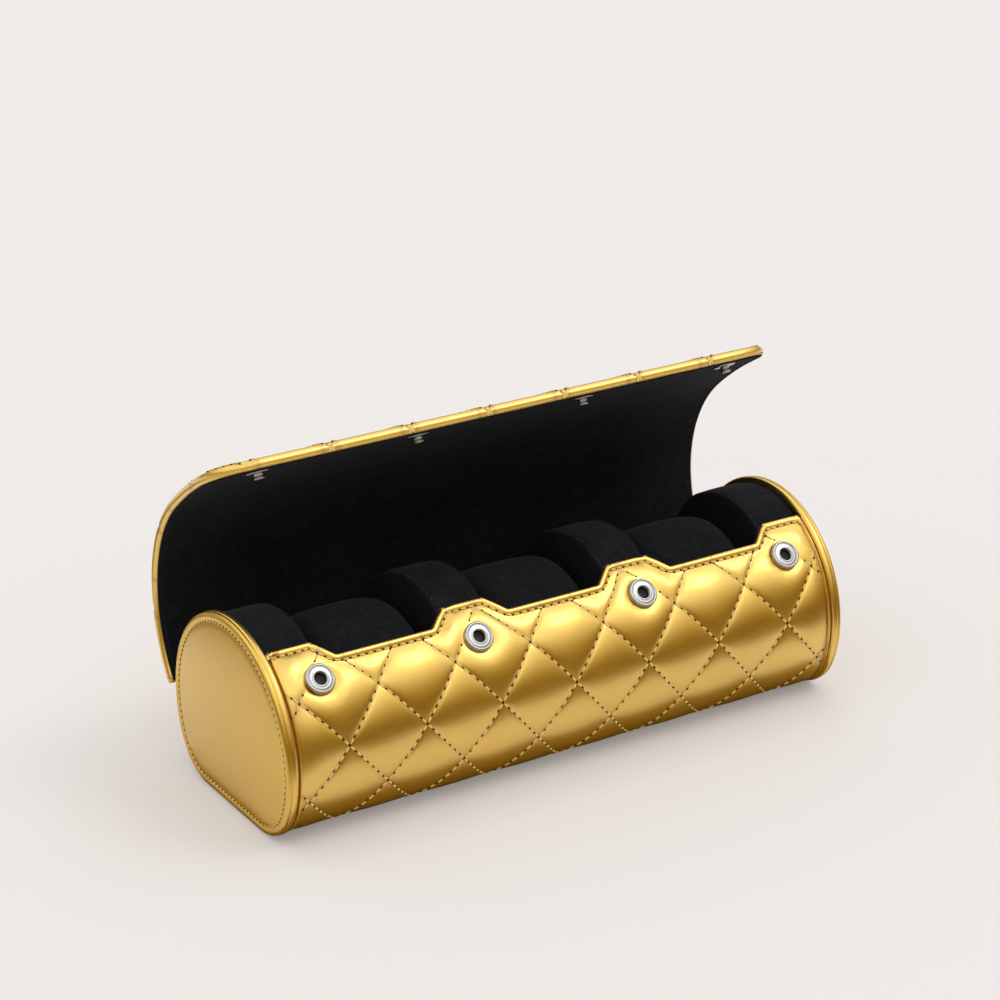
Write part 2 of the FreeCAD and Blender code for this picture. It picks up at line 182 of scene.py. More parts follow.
class Tree:
    """A node tree, and the one way in which its nodes are made."""

    def __init__(self, tree: bpy.types.NodeTree) -> None:
        """Empty the tree."""
        self.tree = tree
        tree.nodes.clear()

    def node(self, kind: str, settings: dict | None = None, inputs: dict | None = None,
             out: int | str = 0) -> Value:
        """Add a node.

        Args:
            kind: The node's type.
            settings: Its settings, and a ramp's stops, which are set first.
            inputs: Values or links of its sockets.
            out: The output that is returned.

        Returns:
            The chosen output.
        """
        made = self.tree.nodes.new(kind)
        for name, setting in (settings or {}).items():
            if name == "stops":
                self._stops(made.color_ramp, setting)
            else:
                setattr(made, name, setting)
        for key, given in (inputs or {}).items():
            if isinstance(given, Value):
                self.tree.links.new(given.socket, made.inputs[key])
            else:
                made.inputs[key].default_value = given
        return Value(self, made.outputs[out] if len(made.outputs) else None)

    @staticmethod
    def _stops(ramp: bpy.types.ColorRamp, stops: Sequence[tuple]) -> None:
        """Set a ramp's stops.

        Args:
            ramp: The ramp.
            stops: Pairs of a position and a grey or a colour.
        """
        while len(ramp.elements) < len(stops):
            ramp.elements.new(1.0)
        for element, (place, colour) in zip(ramp.elements, stops):
            element.position = place
            element.color = (colour,) * 3 + (1.0,) if isinstance(colour, float) else (*colour, 1.0)

    def noise(self, scale: float, detail: float = 2.0) -> Value:
        """Noise on Object coordinates, from 0 to 1."""
        place = self.node("ShaderNodeTexCoord", out="Object")
        return self.node("ShaderNodeTexNoise", {}, {"Vector": place, "Scale": scale, "Detail": detail})

    def mix(self, factor: object, first: object, second: object) -> Value:
        """A colour between two."""
        settings = {"data_type": "RGBA"}
        return self.node("ShaderNodeMix", settings, {"Factor": factor, 6: first, 7: second}, out=2)

    def attribute(self, name: str) -> Value:
        """A number that a mesh carries at its points."""
        return self.node("ShaderNodeAttribute", {"attribute_name": name}, out="Fac")

    def bump(self, height: Value, strength: float, depth_mm: float, base: Value | None = None) -> Value:
        """A normal raised by a height.

        Args:
            height: The height, from 0 to 1.
            strength: How much of it shows.
            depth_mm: Its depth in millimetres.
            base: A normal that it is added to.

        Returns:
            The normal.
        """
        inputs = {"Height": height, "Strength": strength, "Distance": depth_mm * MM}
        if base is not None:
            inputs["Normal"] = base
        return self.node("ShaderNodeBump", {}, inputs)


def rgba(colour: Colour, level: float = 1.0) -> tuple[float, float, float, float]:
    """A colour with alpha, at a level."""
    return (colour[0] * level, colour[1] * level, colour[2] * level, 1.0)


MADE: dict[Finish, bpy.types.Material] = {}


class Finish:
    """A named material that is made once, on first use."""

    name: str

    def shade(self, tree: Tree) -> dict:
        """The Principled sockets of the finish."""
        raise NotImplementedError

    def surface(self, tree: Tree) -> Value:
        """The finish's shader."""
        return tree.node("ShaderNodeBsdfPrincipled", {}, self.shade(tree))

    def material(self) -> bpy.types.Material:
        """The finish's material.

        Returns:
            The material, made on the first call.
        """
        if self in MADE:
            return MADE[self]
        made = MADE[self] = bpy.data.materials.new(self.name)
        made.use_nodes = True
        tree = Tree(made.node_tree)
        tree.node("ShaderNodeOutputMaterial", {}, {"Surface": self.surface(tree)})
        return made


@dataclass(frozen=True)
class GoldLeather(Finish):
    """Smooth leather under a satin gold foil: fine pores, soft mottling, and painted shade that darkens the
    colour in the seams.
    """

    name: str = "gold_foil_leather"
    colour: Colour = (0.87, 0.548, 0.040)
    seam_shade_colour: Colour = (0.42, 0.21, 0.008)
    roughness: float = 0.34
    coat: float = 1.0

    def shade(self, tree: Tree) -> dict:
        """The Principled sockets of the finish.

        Args:
            tree: The material's tree.

        Returns:
            Values and links by socket name.
        """
        mottle = tree.noise(90.0, 3.0)
        pores = tree.noise(2600.0, 2.0)
        creases = tree.noise(420.0, 4.0)
        # Painted shade: the seam attribute darkens the colour towards the seam colour and roughens the leather
        # there.
        seam = tree.attribute("seam")
        plain = tree.mix(mottle, rgba(self.colour, 0.95), rgba(self.colour, 1.05))
        base = tree.mix(seam * 0.60, plain, rgba(self.seam_shade_colour))
        rough = self.roughness - 0.05 + 0.06 * mottle + 0.05 * creases + 0.10 * seam
        normal = tree.bump(pores, 0.10, 0.03, tree.bump(creases, 0.10, 0.12))
        return {
            "Base Color": base, "Roughness": rough, "Metallic": 1.0, "Normal": normal,
            "Coat Weight": self.coat, "Coat Roughness": 0.30, "Coat IOR": 2.1,
        }


@dataclass(frozen=True)
class Suede(Finish):
    """Short-napped black suede, lighter where the nap lies over."""

    name: str = "napped_black_suede"
    colour: Colour = (0.0024, 0.0025, 0.0031)
    raised: Colour = (0.0180, 0.0187, 0.0232)
    sheen: float = 0.05

    def shade(self, tree: Tree) -> dict:
        """The Principled sockets of the finish.

        Args:
            tree: The material's tree.

        Returns:
            Values and links by socket name.
        """
        stroked = tree.noise(38.0, 4.0)
        brushed = tree.noise(330.0, 3.0)
        nap = tree.noise(1100.0, 3.0)
        fibre = tree.noise(4200.0, 2.0)
        tone = stroked * 0.30 + brushed * 0.30 + nap * 0.40
        base = tree.mix(tone * 2.4 - 0.7, rgba(self.colour), rgba(self.raised))
        normal = tree.bump(nap * 0.6 + fibre * 0.4, 0.55, 0.18)
        return {
            "Base Color": base, "Roughness": 0.92 - 0.06 * stroked, "Normal": normal,
            "Specular IOR Level": 0.10, "Sheen Weight": self.sheen, "Sheen Roughness": 0.45,
            "Sheen Tint": (0.60, 0.62, 0.70, 1.0),
        }


@dataclass(frozen=True)
class Thread(Finish):
    """Twisted sewing thread."""

    name: str
    colour: Colour
    roughness: float = 0.5
    shine: float = 0.4

    def shade(self, tree: Tree) -> dict:
        """The Principled sockets of the finish.

        Args:
            tree: The material's tree.

        Returns:
            Values and links by socket name.
        """
        twist = tree.noise(3800.0, 2.0)
        base = tree.mix(twist, rgba(self.colour, 0.75), rgba(self.colour, 1.2))
        return {
            "Base Color": base, "Roughness": self.roughness + 0.1 * twist, "Specular IOR Level": self.shine,
            "Normal": tree.bump(twist, 0.4, 0.08),
        }


@dataclass(frozen=True)
class Nickel(Finish):
    """Bright plated metal with fine turning marks and a few scuffs."""

    name: str = "bright_nickel"
    colour: Colour = (0.50, 0.50, 0.51)
    roughness: float = 0.27

    def shade(self, tree: Tree) -> dict:
        """The Principled sockets of the finish.

        Args:
            tree: The material's tree.

        Returns:
            Values and links by socket name.
        """
        scuff = tree.noise(900.0, 4.0)
        base = tree.mix(scuff, rgba(self.colour, 0.86), rgba(self.colour, 1.08))
        return {
            "Base Color": base, "Roughness": self.roughness - 0.06 + 0.16 * scuff, "Metallic": 1.0,
            "Normal": tree.bump(scuff, 0.12, 0.05),
        }


@dataclass(frozen=True)
class Plain(Finish):
    """Board, foam and other plain stuff, with a fine speck."""

    name: str
    colour: Colour
    speck: float
    roughness: float = 0.9
    spread: float = 0.2

    def shade(self, tree: Tree) -> dict:
        """The Principled sockets of the finish.

        Args:
            tree: The material's tree.

        Returns:
            Values and links by socket name.
        """
        speck = tree.noise(self.speck, 3.0)
        base = tree.mix(speck, rgba(self.colour, 1 - self.spread), rgba(self.colour, 1 + self.spread))
        normal = tree.bump(speck, min(1.0, self.spread), 0.1)
        return {"Base Color": base, "Roughness": self.roughness - 0.1 * speck, "Normal": normal}


@dataclass(frozen=True)
class Paper(Plain):
    """Studio paper: plain stuff that glows a little to the camera, so that shadows on it stay pale."""

    glow: float = 0.25

    def surface(self, tree: Tree) -> Value:
        """The finish's shader, with the glow mixed in for the camera.

        Args:
            tree: The material's tree.

        Returns:
            The shader.
        """
        seen = tree.node("ShaderNodeLightPath", out="Is Camera Ray")
        bright = tree.node("ShaderNodeEmission", {}, {"Color": rgba(self.colour), "Strength": 1.0})
        shaders = {0: seen * self.glow, 1: super().surface(tree), 2: bright}
        return tree.node("ShaderNodeMixShader", {}, shaders)


GOLD = GoldLeather()
CAP_GOLD = GoldLeather("cap_leather", (0.80, 0.506, 0.036), roughness=0.38, coat=0.65)
SUEDE = Suede()
GOLD_THREAD = Thread("gold_thread", (0.93, 0.67, 0.21), roughness=0.42, shine=0.25)
# Dark beads at the needle holes: painted shade of the holes between the stitches.
NEEDLE_HOLE_SHADE = Thread("needle_hole_shade", (0.070, 0.030, 0.003), roughness=0.8, shine=0.05)
BLACK_THREAD = Thread("black_thread", (0.032, 0.032, 0.037), roughness=0.55)
NICKEL = Nickel()
# A dark metal for the inside of the sockets' holes: painted shade of the recess.
SOCKET_WELL_SHADE = Nickel("socket_well_shade", (0.05, 0.05, 0.055), 0.45)
BOARD = Plain("grey_board", (0.32, 0.27, 0.20), 700.0)
FOAM = Plain("dark_foam", (0.030, 0.030, 0.032), 1200.0)


# Wrapping flat patterns onto a section


def smooth(low: float, high: float, amount: np.ndarray) -> np.ndarray:
    """A soft step from 0 at low to 1 at high."""
    t = np.clip((np.asarray(amount, float) - low) / (high - low), 0.0, 1.0)
    return t * t * (3.0 - 2.0 * t)


class Section:
    """A line across the case in y and z, with its length and its outward side."""

    def __init__(self, inward: bool = False) -> None:
        """Start an empty line, whose heights count inwards if asked."""
        self.rows: list[tuple[float, float, float, float]] = []
        self.sign = -1.0 if inward else 1.0

    def arc(self, centre: tuple[float, float], radius: float, start: float, end: float) -> Section:
        """Add an arc.

        Args:
            centre: Its middle in y and z.
            radius: Its radius.
            start: Its first angle, in degrees.
            end: Its last angle, larger than the first.

        Returns:
            This section.
        """
        steps = max(4, math.ceil(abs(end - start)))
        for angle in np.radians(np.linspace(start, end, steps + 1)):
            c, s = math.cos(angle), math.sin(angle)
            self.rows.append((centre[0] + radius * c, centre[1] + radius * s, c, s))
        return self

    def curve(self, points: Sequence[tuple[float, float]]) -> Section:
        """Add a Bezier curve.

        Args:
            points: An end, two handles and an end, in y and z.

        Returns:
            This section.
        """
        p = np.array(points, float)
        for t in np.linspace(0.0, 1.0, 25):
            u = 1.0 - t
            place = p[0] * u ** 3 + 3 * p[1] * u * u * t + 3 * p[2] * u * t * t + p[3] * t ** 3
            run = 3 * (p[1] - p[0]) * u * u + 6 * (p[2] - p[1]) * u * t + 3 * (p[3] - p[2]) * t * t
            run = run / np.linalg.norm(run)
            self.rows.append((place[0], place[1], run[1], -run[0]))
        return self

    def done(self) -> Section:
        """Measure the line's length once all of it is there.

        Returns:
            This section.
        """
        self.table = np.array(self.rows)
        steps = np.linalg.norm(np.diff(self.table[:, :2], axis=0), axis=1)
        self.marks = np.concatenate([[0.0], np.cumsum(steps)])
        self.length = float(self.marks[-1])
        return self

    def wrap(self, flat: np.ndarray) -> np.ndarray:
        """Bend flat places onto the section.

        Args:
            flat: Rows of x, s and h in millimetres.

        Returns:
            Rows of x, y and z in metres.
        """
        y, z, ny, nz = (np.interp(flat[:, 1], self.marks, column) for column in self.table.T)
        rise = self.sign * flat[:, 2]
        past = flat[:, 1] - np.clip(flat[:, 1], 0.0, self.length)
        return np.column_stack([flat[:, 0], y + ny * rise - nz * past, z + nz * rise + ny * past]) * MM


def case_section(side: float, floor: float, front: float = 90.0, back: float = 90.0,
                 inward: bool = False) -> Section:
    """The case's outline from the front edge under it to the back edge.

    Args:
        side: How far inside the rim's outline the round part lies.
        floor: Height of the flat base.
        front: Angle of the front edge.
        back: Angle of the back edge.
        inward: Whether heights on it count towards the inside.

    Returns:
        The section.
    """
    radius, corner = RIM_RADIUS - side, CORNER_RADIUS - floor
    drop = AXIS[1] - CORNER_RADIUS
    flat = math.sqrt((radius - corner) ** 2 - drop ** 2)
    tangent = -math.degrees(math.atan2(drop, flat))
    line = Section(inward).arc(AXIS, radius, front, 180.0 - tangent)
    line = line.arc((-flat, CORNER_RADIUS), corner, 180.0 - tangent, 270.0)
    line = line.arc((flat, CORNER_RADIUS), corner, -90.0, tangent)
    return line.arc(AXIS, radius, tangent, back).done()


def behind(place: tuple[float, float], radius: float, angle: float) -> tuple[float, float]:
    """Centre of the arc that passes through a place at an angle."""
    turn = math.radians(angle)
    return (place[0] - radius * math.cos(turn), place[1] - radius * math.sin(turn))


LID_CENTRE = behind(HINGE, LID_RADIUS + LID_THICKNESS, LID_START)
FLAP_CENTRE = behind(FLEX, FLAP_RADIUS, LID_END)


def lid_section(height: float, inward: bool = False) -> Section:
    """The lid's line from the hinge to the free edge.

    Args:
        height: Distance from the lining's face.
        inward: Whether heights on it count towards the inside.

    Returns:
        The section.
    """
    line = Section(inward).arc(LID_CENTRE, LID_RADIUS + height, LID_START, LID_END)
    return line.arc(FLAP_CENTRE, FLAP_RADIUS + height, LID_END, FLAP_END).done()


class FlatFace:
    """A flat end face, on which a pattern's heights count along x."""

    def __init__(self, line: Section, x: float) -> None:
        """Keep the line on the face and the face's x."""
        self.line = line
        self.x = x

    def wrap(self, flat: np.ndarray) -> np.ndarray:
        """Lay flat places on the face.

        Args:
            flat: Rows of a distance inwards, s and h.

        Returns:
            Rows of x, y and z in metres.
        """
        rows = self.line.wrap(np.column_stack([np.zeros(len(flat)), flat[:, 1], -flat[:, 0]]))
        rows[:, 0] = (self.x + flat[:, 2]) * MM
        return rows


class FreeEdge:
    """The wall of the lid's free edge, on which a pattern's heights count outwards along the lid."""

    def __init__(self, line: Section) -> None:
        """Keep the lid's section."""
        self.line = line

    def wrap(self, flat: np.ndarray) -> np.ndarray:
        """Lay flat places on the wall: rows of x, depth and height, to metres."""
        return self.line.wrap(np.column_stack([flat[:, 0], self.line.length + flat[:, 2], -flat[:, 1]]))


@dataclass
class Outline:
    """The closed edge of a flat pattern, anticlockwise in x and s.

    Each corner has a rounding, and each side, named by the corner that it starts from, a border width.
    """

    corners: Sequence[tuple[float, float]]
    roundings: Sequence[float]
    widths: Sequence[float]

    def __post_init__(self) -> None:
        """Round the corners and work out the sides' outward directions."""
        places, widths = [], []
        count = len(self.corners)
        for i in range(count):
            here = np.array(self.corners[i], float)
            before = np.array(self.corners[i - 1], float) - here
            after = np.array(self.corners[(i + 1) % count], float) - here
            reach = self.roundings[i]
            steps = max(3, round(reach))
            start = here + before / np.linalg.norm(before) * reach
            end = here + after / np.linalg.norm(after) * reach
            for k in range(steps + 1):
                t = k / steps
                places.append(start * (1 - t) ** 2 + 2 * here * t * (1 - t) + end * t * t)
                widths.append(self.widths[i - 1] * (1 - t) + self.widths[i] * t)
        self.points = np.array(places)
        self.side_widths = np.array(widths)
        run = np.roll(self.points, -1, axis=0) - self.points
        run = run / np.linalg.norm(run, axis=1)[:, None]
        self.outward = np.column_stack([run[:, 1], -run[:, 0]])

    def ring(self, share: float, extra: float = 0.0) -> np.ndarray:
        """The outline moved in or out, with mitred corners.

        Args:
            share: 0 at the inner line of the border and 1 at the edge.
            extra: A further distance outwards.

        Returns:
            One place for each point of the outline.
        """
        distance = (share - 1.0) * self.side_widths + extra
        n1, n2 = np.roll(self.outward, 1, axis=0), self.outward
        d1, d2 = np.roll(distance, 1), distance
        cross = n1[:, 0] * n2[:, 1] - n1[:, 1] * n2[:, 0]
        straight = np.abs(cross) < 0.02
        safe = np.where(straight, 1.0, cross)
        move = np.column_stack([d1 * n2[:, 1] - d2 * n1[:, 1], d2 * n1[:, 0] - d1 * n2[:, 0]]) / safe[:, None]
        along = n2 * ((d1 + d2) / 2)[:, None]
        return self.points + np.where(straight[:, None], along, move)

    def nearest(self, places: np.ndarray, share: float = 0.0) -> tuple[np.ndarray, np.ndarray, np.ndarray]:
        """The side of a ring nearest to each place.

        Args:
            places: Rows of x and s.
            share: Which ring.

        Returns:
            The side's index, the fraction along it and the distance.
        """
        ring = self.ring(share)
        best = np.full(len(places), 1e9)
        side, fraction = np.zeros(len(places), int), np.zeros(len(places))
        for i in range(len(ring)):
            start, run = ring[i], ring[(i + 1) % len(ring)] - ring[i]
            t = np.clip(((places - start) @ run) / max(run @ run, 1e-9), 0.0, 1.0)
            gap = np.linalg.norm(places - start - t[:, None] * run, axis=1)
            closer = gap < best
            best[closer], side[closer], fraction[closer] = gap[closer], i, t[closer]
        return side, fraction, best

    def inside(self, places: np.ndarray, share: float = 0.0) -> np.ndarray:
        """Which places lie within a ring.

        Args:
            places: Rows of x and s.
            share: Which ring.

        Returns:
            True for each place inside.
        """
        ring = self.ring(share)
        found = np.zeros(len(places), bool)
        for i in range(len(ring)):
            (x1, s1), (x2, s2) = ring[i], ring[(i + 1) % len(ring)]
            spans = (s1 > places[:, 1]) != (s2 > places[:, 1])
            found ^= spans & (places[:, 0] < (x2 - x1) * (places[:, 1] - s1) / (s2 - s1 + 1e-12) + x1)
        return found


# Mesh helpers


def coordinates(bm: bmesh.types.BMesh) -> np.ndarray:
    """The mesh's vertices as rows."""
    return np.array([v.co for v in bm.verts], float).reshape(-1, 3)


def place(bm: bmesh.types.BMesh, rows: np.ndarray) -> None:
    """Move the mesh's vertices to new rows."""
    for v, row in zip(bm.verts, rows):
        v.co = row


def raise_field(bm: bmesh.types.BMesh, level: OnRows) -> None:
    """Give a flat mesh its heights.

    Args:
        bm: The mesh.
        level: The height at rows of x and s.
    """
    rows = coordinates(bm)
    rows[:, 2] = level(rows[:, :2])
    place(bm, rows)


def face_middles(faces: Iterable[bmesh.types.BMFace]) -> np.ndarray:
    """The middles of flat faces, in x and s."""
    return np.array([face.calc_center_median()[:2] for face in faces])


def open_edges(bm: bmesh.types.BMesh) -> list[bmesh.types.BMEdge]:
    """The edges round the outside of a sheet."""
    return [edge for edge in bm.edges if len(edge.link_faces) == 1]


def extruded(bm: bmesh.types.BMesh, edges: Sequence[bmesh.types.BMEdge]) -> tuple[list, list]:
    """Extrude edges of a sheet.

    Args:
        bm: The mesh.
        edges: Its edges to extrude.

    Returns:
        The new edges and the new vertices.
    """
    made = bmesh.ops.extrude_edge_only(bm, edges=edges)["geom"]
    verts = [g for g in made if isinstance(g, bmesh.types.BMVert)]
    return [g for g in made if isinstance(g, bmesh.types.BMEdge)], verts


def patch(columns: int, rows: int) -> bmesh.types.BMesh:
    """A grid of quads over the unit square.

    Args:
        columns: Faces along x.
        rows: Faces along y.

    Returns:
        The grid.
    """
    bm = bmesh.new()
    bmesh.ops.create_grid(bm, x_segments=columns, y_segments=rows, size=0.5)
    bmesh.ops.translate(bm, verts=bm.verts, vec=(0.5, 0.5, 0.0))
    return bm


def piece(bm: bmesh.types.BMesh, name: str, *finishes: Finish, outward: bool = False) -> bpy.types.Object:
    """Make an object of a mesh.

    Args:
        bm: The mesh, in metres, which is freed.
        name: The object's name.
        finishes: Its finishes, by material index.
        outward: Whether to turn the faces of closed shells outwards.

    Returns:
        The object.
    """
    if outward:
        bmesh.ops.recalc_face_normals(bm, faces=bm.faces)
    for face in bm.faces:
        face.smooth = True
    mesh = bpy.data.meshes.new(name)
    bm.to_mesh(mesh)
    bm.free()
    for finish in finishes:
        mesh.materials.append(finish.material())
    made = bpy.data.objects.new(name, mesh)
    bpy.context.scene.collection.objects.link(made)
    LOG.info("%s: %d faces", name, len(mesh.polygons))
    return made


def settle(made: bpy.types.Object, body: Body, slot: Slot, *nodes: str) -> bpy.types.Object:
    """Ride a piece on a body and hide the nodes that it stands for.

    Args:
        made: The piece.
        body: The body.
        slot: The slot; not used.
        nodes: The nodes.

    Returns:
        The piece.
    """
    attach(made, body.value)
    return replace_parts(made, *nodes) if nodes else made


def swept_rings(line: Section, rings: Sequence[tuple[float, float]], count: int) -> bmesh.types.BMesh:
    """Sweep a profile round a closed section.

    Args:
        line: The closed section.
        rings: Pairs of a depth inside the section and an x.
        count: Faces round the section.

    Returns:
        The mesh in metres.
    """
    bm = patch(count, len(rings) - 1)
    unit = coordinates(bm)
    at = unit[:, 1] * (len(rings) - 1)
    table = np.array(rings)
    index = np.arange(len(rings))
    depth, x = np.interp(at, index, table[:, 0]), np.interp(at, index, table[:, 1])
    place(bm, line.wrap(np.column_stack([x, unit[:, 0] * line.length, -depth])))
    return bm


def pinch_ends(rows: np.ndarray, rings: int) -> None:
    """Draw the first and the last ring of a sweep together in the middle of the case's end.

    Args:
        rows: The sweep's places in millimetres, which are changed.
        rings: How many rings it has.
    """
    count = len(rows) // rings
    rows[:count, 1:] = END_MIDDLE
    rows[-count:, 1:] = END_MIDDLE


def closed(bm: bmesh.types.BMesh) -> bmesh.types.BMesh:
    """Weld a sweep's seam and its poles.

    Args:
        bm: The mesh.

    Returns:
        The same mesh.
    """
    bmesh.ops.remove_doubles(bm, verts=bm.verts, dist=2e-6)
    bmesh.ops.dissolve_degenerate(bm, edges=bm.edges, dist=1e-7)
    return bm


def turned(profile: Sequence[tuple[float, float]], steps: int) -> bmesh.types.BMesh:
    """Turn a profile about its own axis.

    Args:
        profile: Pairs of a radius and a height along Z, in millimetres.
        steps: Faces round the axis.

    Returns:
        The turned shape in millimetres.
    """
    bm = bmesh.new()
    verts = [bm.verts.new((radius, 0.0, height)) for radius, height in profile]
    edges = [bm.edges.new(pair) for pair in zip(verts, verts[1:])]
    bmesh.ops.spin(bm, geom=verts + edges, cent=(0, 0, 0), axis=(0, 0, 1), angle=2 * math.pi, steps=steps,
                   use_merge=True, use_duplicate=False)
    bmesh.ops.remove_doubles(bm, verts=bm.verts, dist=1e-4)
    bmesh.ops.recalc_face_normals(bm, faces=bm.faces)
    return bm


def copies(shape: bmesh.types.BMesh, places: Sequence[Matrix]) -> bmesh.types.BMesh:
    """Repeat a shape.

    Args:
        shape: The shape, which is freed.
        places: A matrix for each copy.

    Returns:
        All the copies in one mesh.
    """
    bm = bmesh.new()
    mesh = bpy.data.meshes.new("copy")
    shape.to_mesh(mesh)
    shape.free()
    for matrix in places:
        before = len(bm.verts)
        bm.from_mesh(mesh)
        bm.verts.ensure_lookup_table()
        bmesh.ops.transform(bm, matrix=matrix, verts=bm.verts[before:])
    bpy.data.meshes.remove(mesh)
    return bm


# Sewing and cutting


@dataclass
class Stitching:
    """Rows of thread, with beads at the needle holes between the stitches that are finished dark as painted
    shade.
    """

    pitch: float = 3.0
    length: float = 2.35
    width: float = 0.78
    rise: float = 0.52
    hole: float = 0.38
    thread_lift: float = 0.3
    hole_stretch: float = 1.35
    hole_rise: float = 0.45
    hole_lift: float = 0.06

    @staticmethod
    def bead(index: int) -> bpy.types.Mesh:
        """A unit ellipsoid of few faces, with a material index.

        Args:
            index: The faces' material index.

        Returns:
            The mesh.
        """
        bm = bmesh.new()
        bmesh.ops.create_uvsphere(bm, u_segments=6, v_segments=4, radius=1.0)
        for face in bm.faces:
            face.material_index = index
        mesh = bpy.data.meshes.new("bead")
        bm.to_mesh(mesh)
        bm.free()
        return mesh

    def sew(self, rows: Sequence[np.ndarray], level: OnRows,
            line: Section | FlatFace | FreeEdge) -> bmesh.types.BMesh:
        """Sew along rows of needle places.

        Args:
            rows: For each run of stitches its needle places, in x and s.
            level: The height of what is sewn, at places.
            line: What the rows are wrapped on.

        Returns:
            The stitches in metres, thread as material 0 and holes as material 1.
        """
        middles = np.vstack([(row[1:] + row[:-1]) / 2 for row in rows])
        runs = np.vstack([row[1:] - row[:-1] for row in rows])
        ways = np.vstack([np.gradient(row, axis=0) for row in rows])
        thread = np.array([self.length, self.width, self.rise]) / 2
        hole = np.array([self.hole * self.hole_stretch, self.hole, self.rise * self.hole_rise])
        kinds = (
            (middles, runs, thread, self.rise * self.thread_lift),
            (np.vstack(rows), ways, hole, self.hole_lift),
        )
        bm = bmesh.new()
        flat = []
        for index, (at, way, size, lift) in enumerate(kinds):
            mesh = self.bead(index)
            unit = np.array([v.co for v in mesh.vertices]) * size
            turn = np.arctan2(way[:, 1], way[:, 0])
            c, s = np.cos(turn)[:, None], np.sin(turn)[:, None]
            x = at[:, :1] + unit[:, 0] * c - unit[:, 1] * s
            y = at[:, 1:] + unit[:, 0] * s + unit[:, 1] * c
            h = (level(at) + lift)[:, None] + np.broadcast_to(unit[:, 2], x.shape)
            flat.append(np.stack([x, y, h], axis=2).reshape(-1, 3))
            for _ in range(len(at)):
                bm.from_mesh(mesh)
            bpy.data.meshes.remove(mesh)
        place(bm, line.wrap(np.vstack(flat)))
        return bm

    def needles(self, path: np.ndarray, closed_path: bool = False) -> np.ndarray:
        """Needle places at the pitch along a path.

        Args:
            path: Rows of x and s.
            closed_path: Whether the path returns to its start.

        Returns:
            Rows of x and s.
        """
        points = np.vstack([path, path[:1]]) if closed_path else path
        marks = np.concatenate([[0.0], np.cumsum(np.linalg.norm(np.diff(points, axis=0), axis=1))])
        count = max(1, round(marks[-1] / self.pitch))
        at = np.linspace(0.0, marks[-1], count + 1)
        return np.column_stack([np.interp(at, marks, points[:, 0]), np.interp(at, marks, points[:, 1])])


def round_path(line: Section) -> np.ndarray:
    """A path all along a section, at the middle of the case."""
    return np.column_stack([np.zeros(200), np.linspace(0.0, line.length, 200)])


def snap_gap(places: np.ndarray, radius: float) -> np.ndarray:
    """How far places on the tub's section of a radius are from the nearest snap's middle."""
    s = math.radians(SNAP_ANGLE - FRONT_EDGE) * radius
    return np.min([np.hypot(places[:, 0] - x, places[:, 1] - s) for x in SNAP_PLACES], axis=0)


def waves(places: np.ndarray, lengths: tuple[float, float, float, float]) -> np.ndarray:
    """The slight waves of glued cloth.

    Args:
        places: Rows of x and s.
        lengths: The length of the waves along x and of their sway, and the same along s.

    Returns:
        Heights from -1 to 1.
    """
    x, s = places[:, 0], places[:, 1]
    along, sway, across, cross_sway = lengths
    return np.sin(x / along + 0.6 * np.sin(s / sway)) * np.sin(s / across + 0.4 * np.sin(x / cross_sway))


def trim(bm: bmesh.types.BMesh, outline: Outline, reach: float = 4.0) -> None:
    """Cut a flat mesh to the inner line of an outline's border.

    Args:
        bm: The mesh, in x and s.
        outline: The outline.
        reach: How near to a slanted side a face has to be to be cut by it.
    """
    ring = outline.ring(0.0)
    low, high = ring.min(axis=0), ring.max(axis=0)
    for axis, edge, sign in ((0, low[0], -1), (0, high[0], 1), (1, low[1], -1), (1, high[1], 1)):
        at, normal = [0.0, 0.0, 0.0], [0.0, 0.0, 0.0]
        at[axis], normal[axis] = edge, sign
        geom = bm.verts[:] + bm.edges[:] + bm.faces[:]
        bmesh.ops.bisect_plane(bm, geom=geom, dist=1e-5, plane_co=at, plane_no=normal, clear_outer=True)
    slanted = []
    for start, run in zip(ring, np.roll(ring, -1, axis=0) - ring):
        ends = np.array([start, start + run])
        if min(np.abs(ends - edge).max(axis=0).min() for edge in (low, high)) > 1e-6:
            slanted.append((start, run))
    middles = face_middles(bm.faces)
    wide = np.zeros(len(middles), bool)
    for start, run in slanted:
        t = np.clip(((middles - start) @ run) / (run @ run), 0.0, 1.0)
        wide |= np.linalg.norm(middles - start - t[:, None] * run, axis=1) < reach + 1.0
    faces = [f for f, near in zip(bm.faces, wide) if near]
    for start, run in slanted:
        length = np.linalg.norm(run)
        offset = face_middles(faces) - start
        t, gap = offset @ run / length, np.abs(offset[:, 0] * run[1] - offset[:, 1] * run[0]) / length
        close = (t > -reach) & (t < length + reach) & (gap < reach)
        near = [f for f, good in zip(faces, close) if good]
        far = [f for f, good in zip(faces, close) if not good]
        geom = list({v for f in near for v in f.verts}) + list({e for f in near for e in f.edges}) + near
        normal = (run[1] / length, -run[0] / length, 0.0)
        cut = bmesh.ops.bisect_plane(bm, geom=geom, dist=1e-5, plane_co=(*start, 0.0), plane_no=normal)
        faces = far + [g for g in cut["geom"] if isinstance(g, bmesh.types.BMFace)]
    good = outline.inside(face_middles(bm.faces))
    outside = [f for f, kept in zip(bm.faces[:], good) if not kept]
    bmesh.ops.delete(bm, geom=outside, context="FACES")
    bmesh.ops.remove_doubles(bm, verts=bm.verts, dist=0.02)


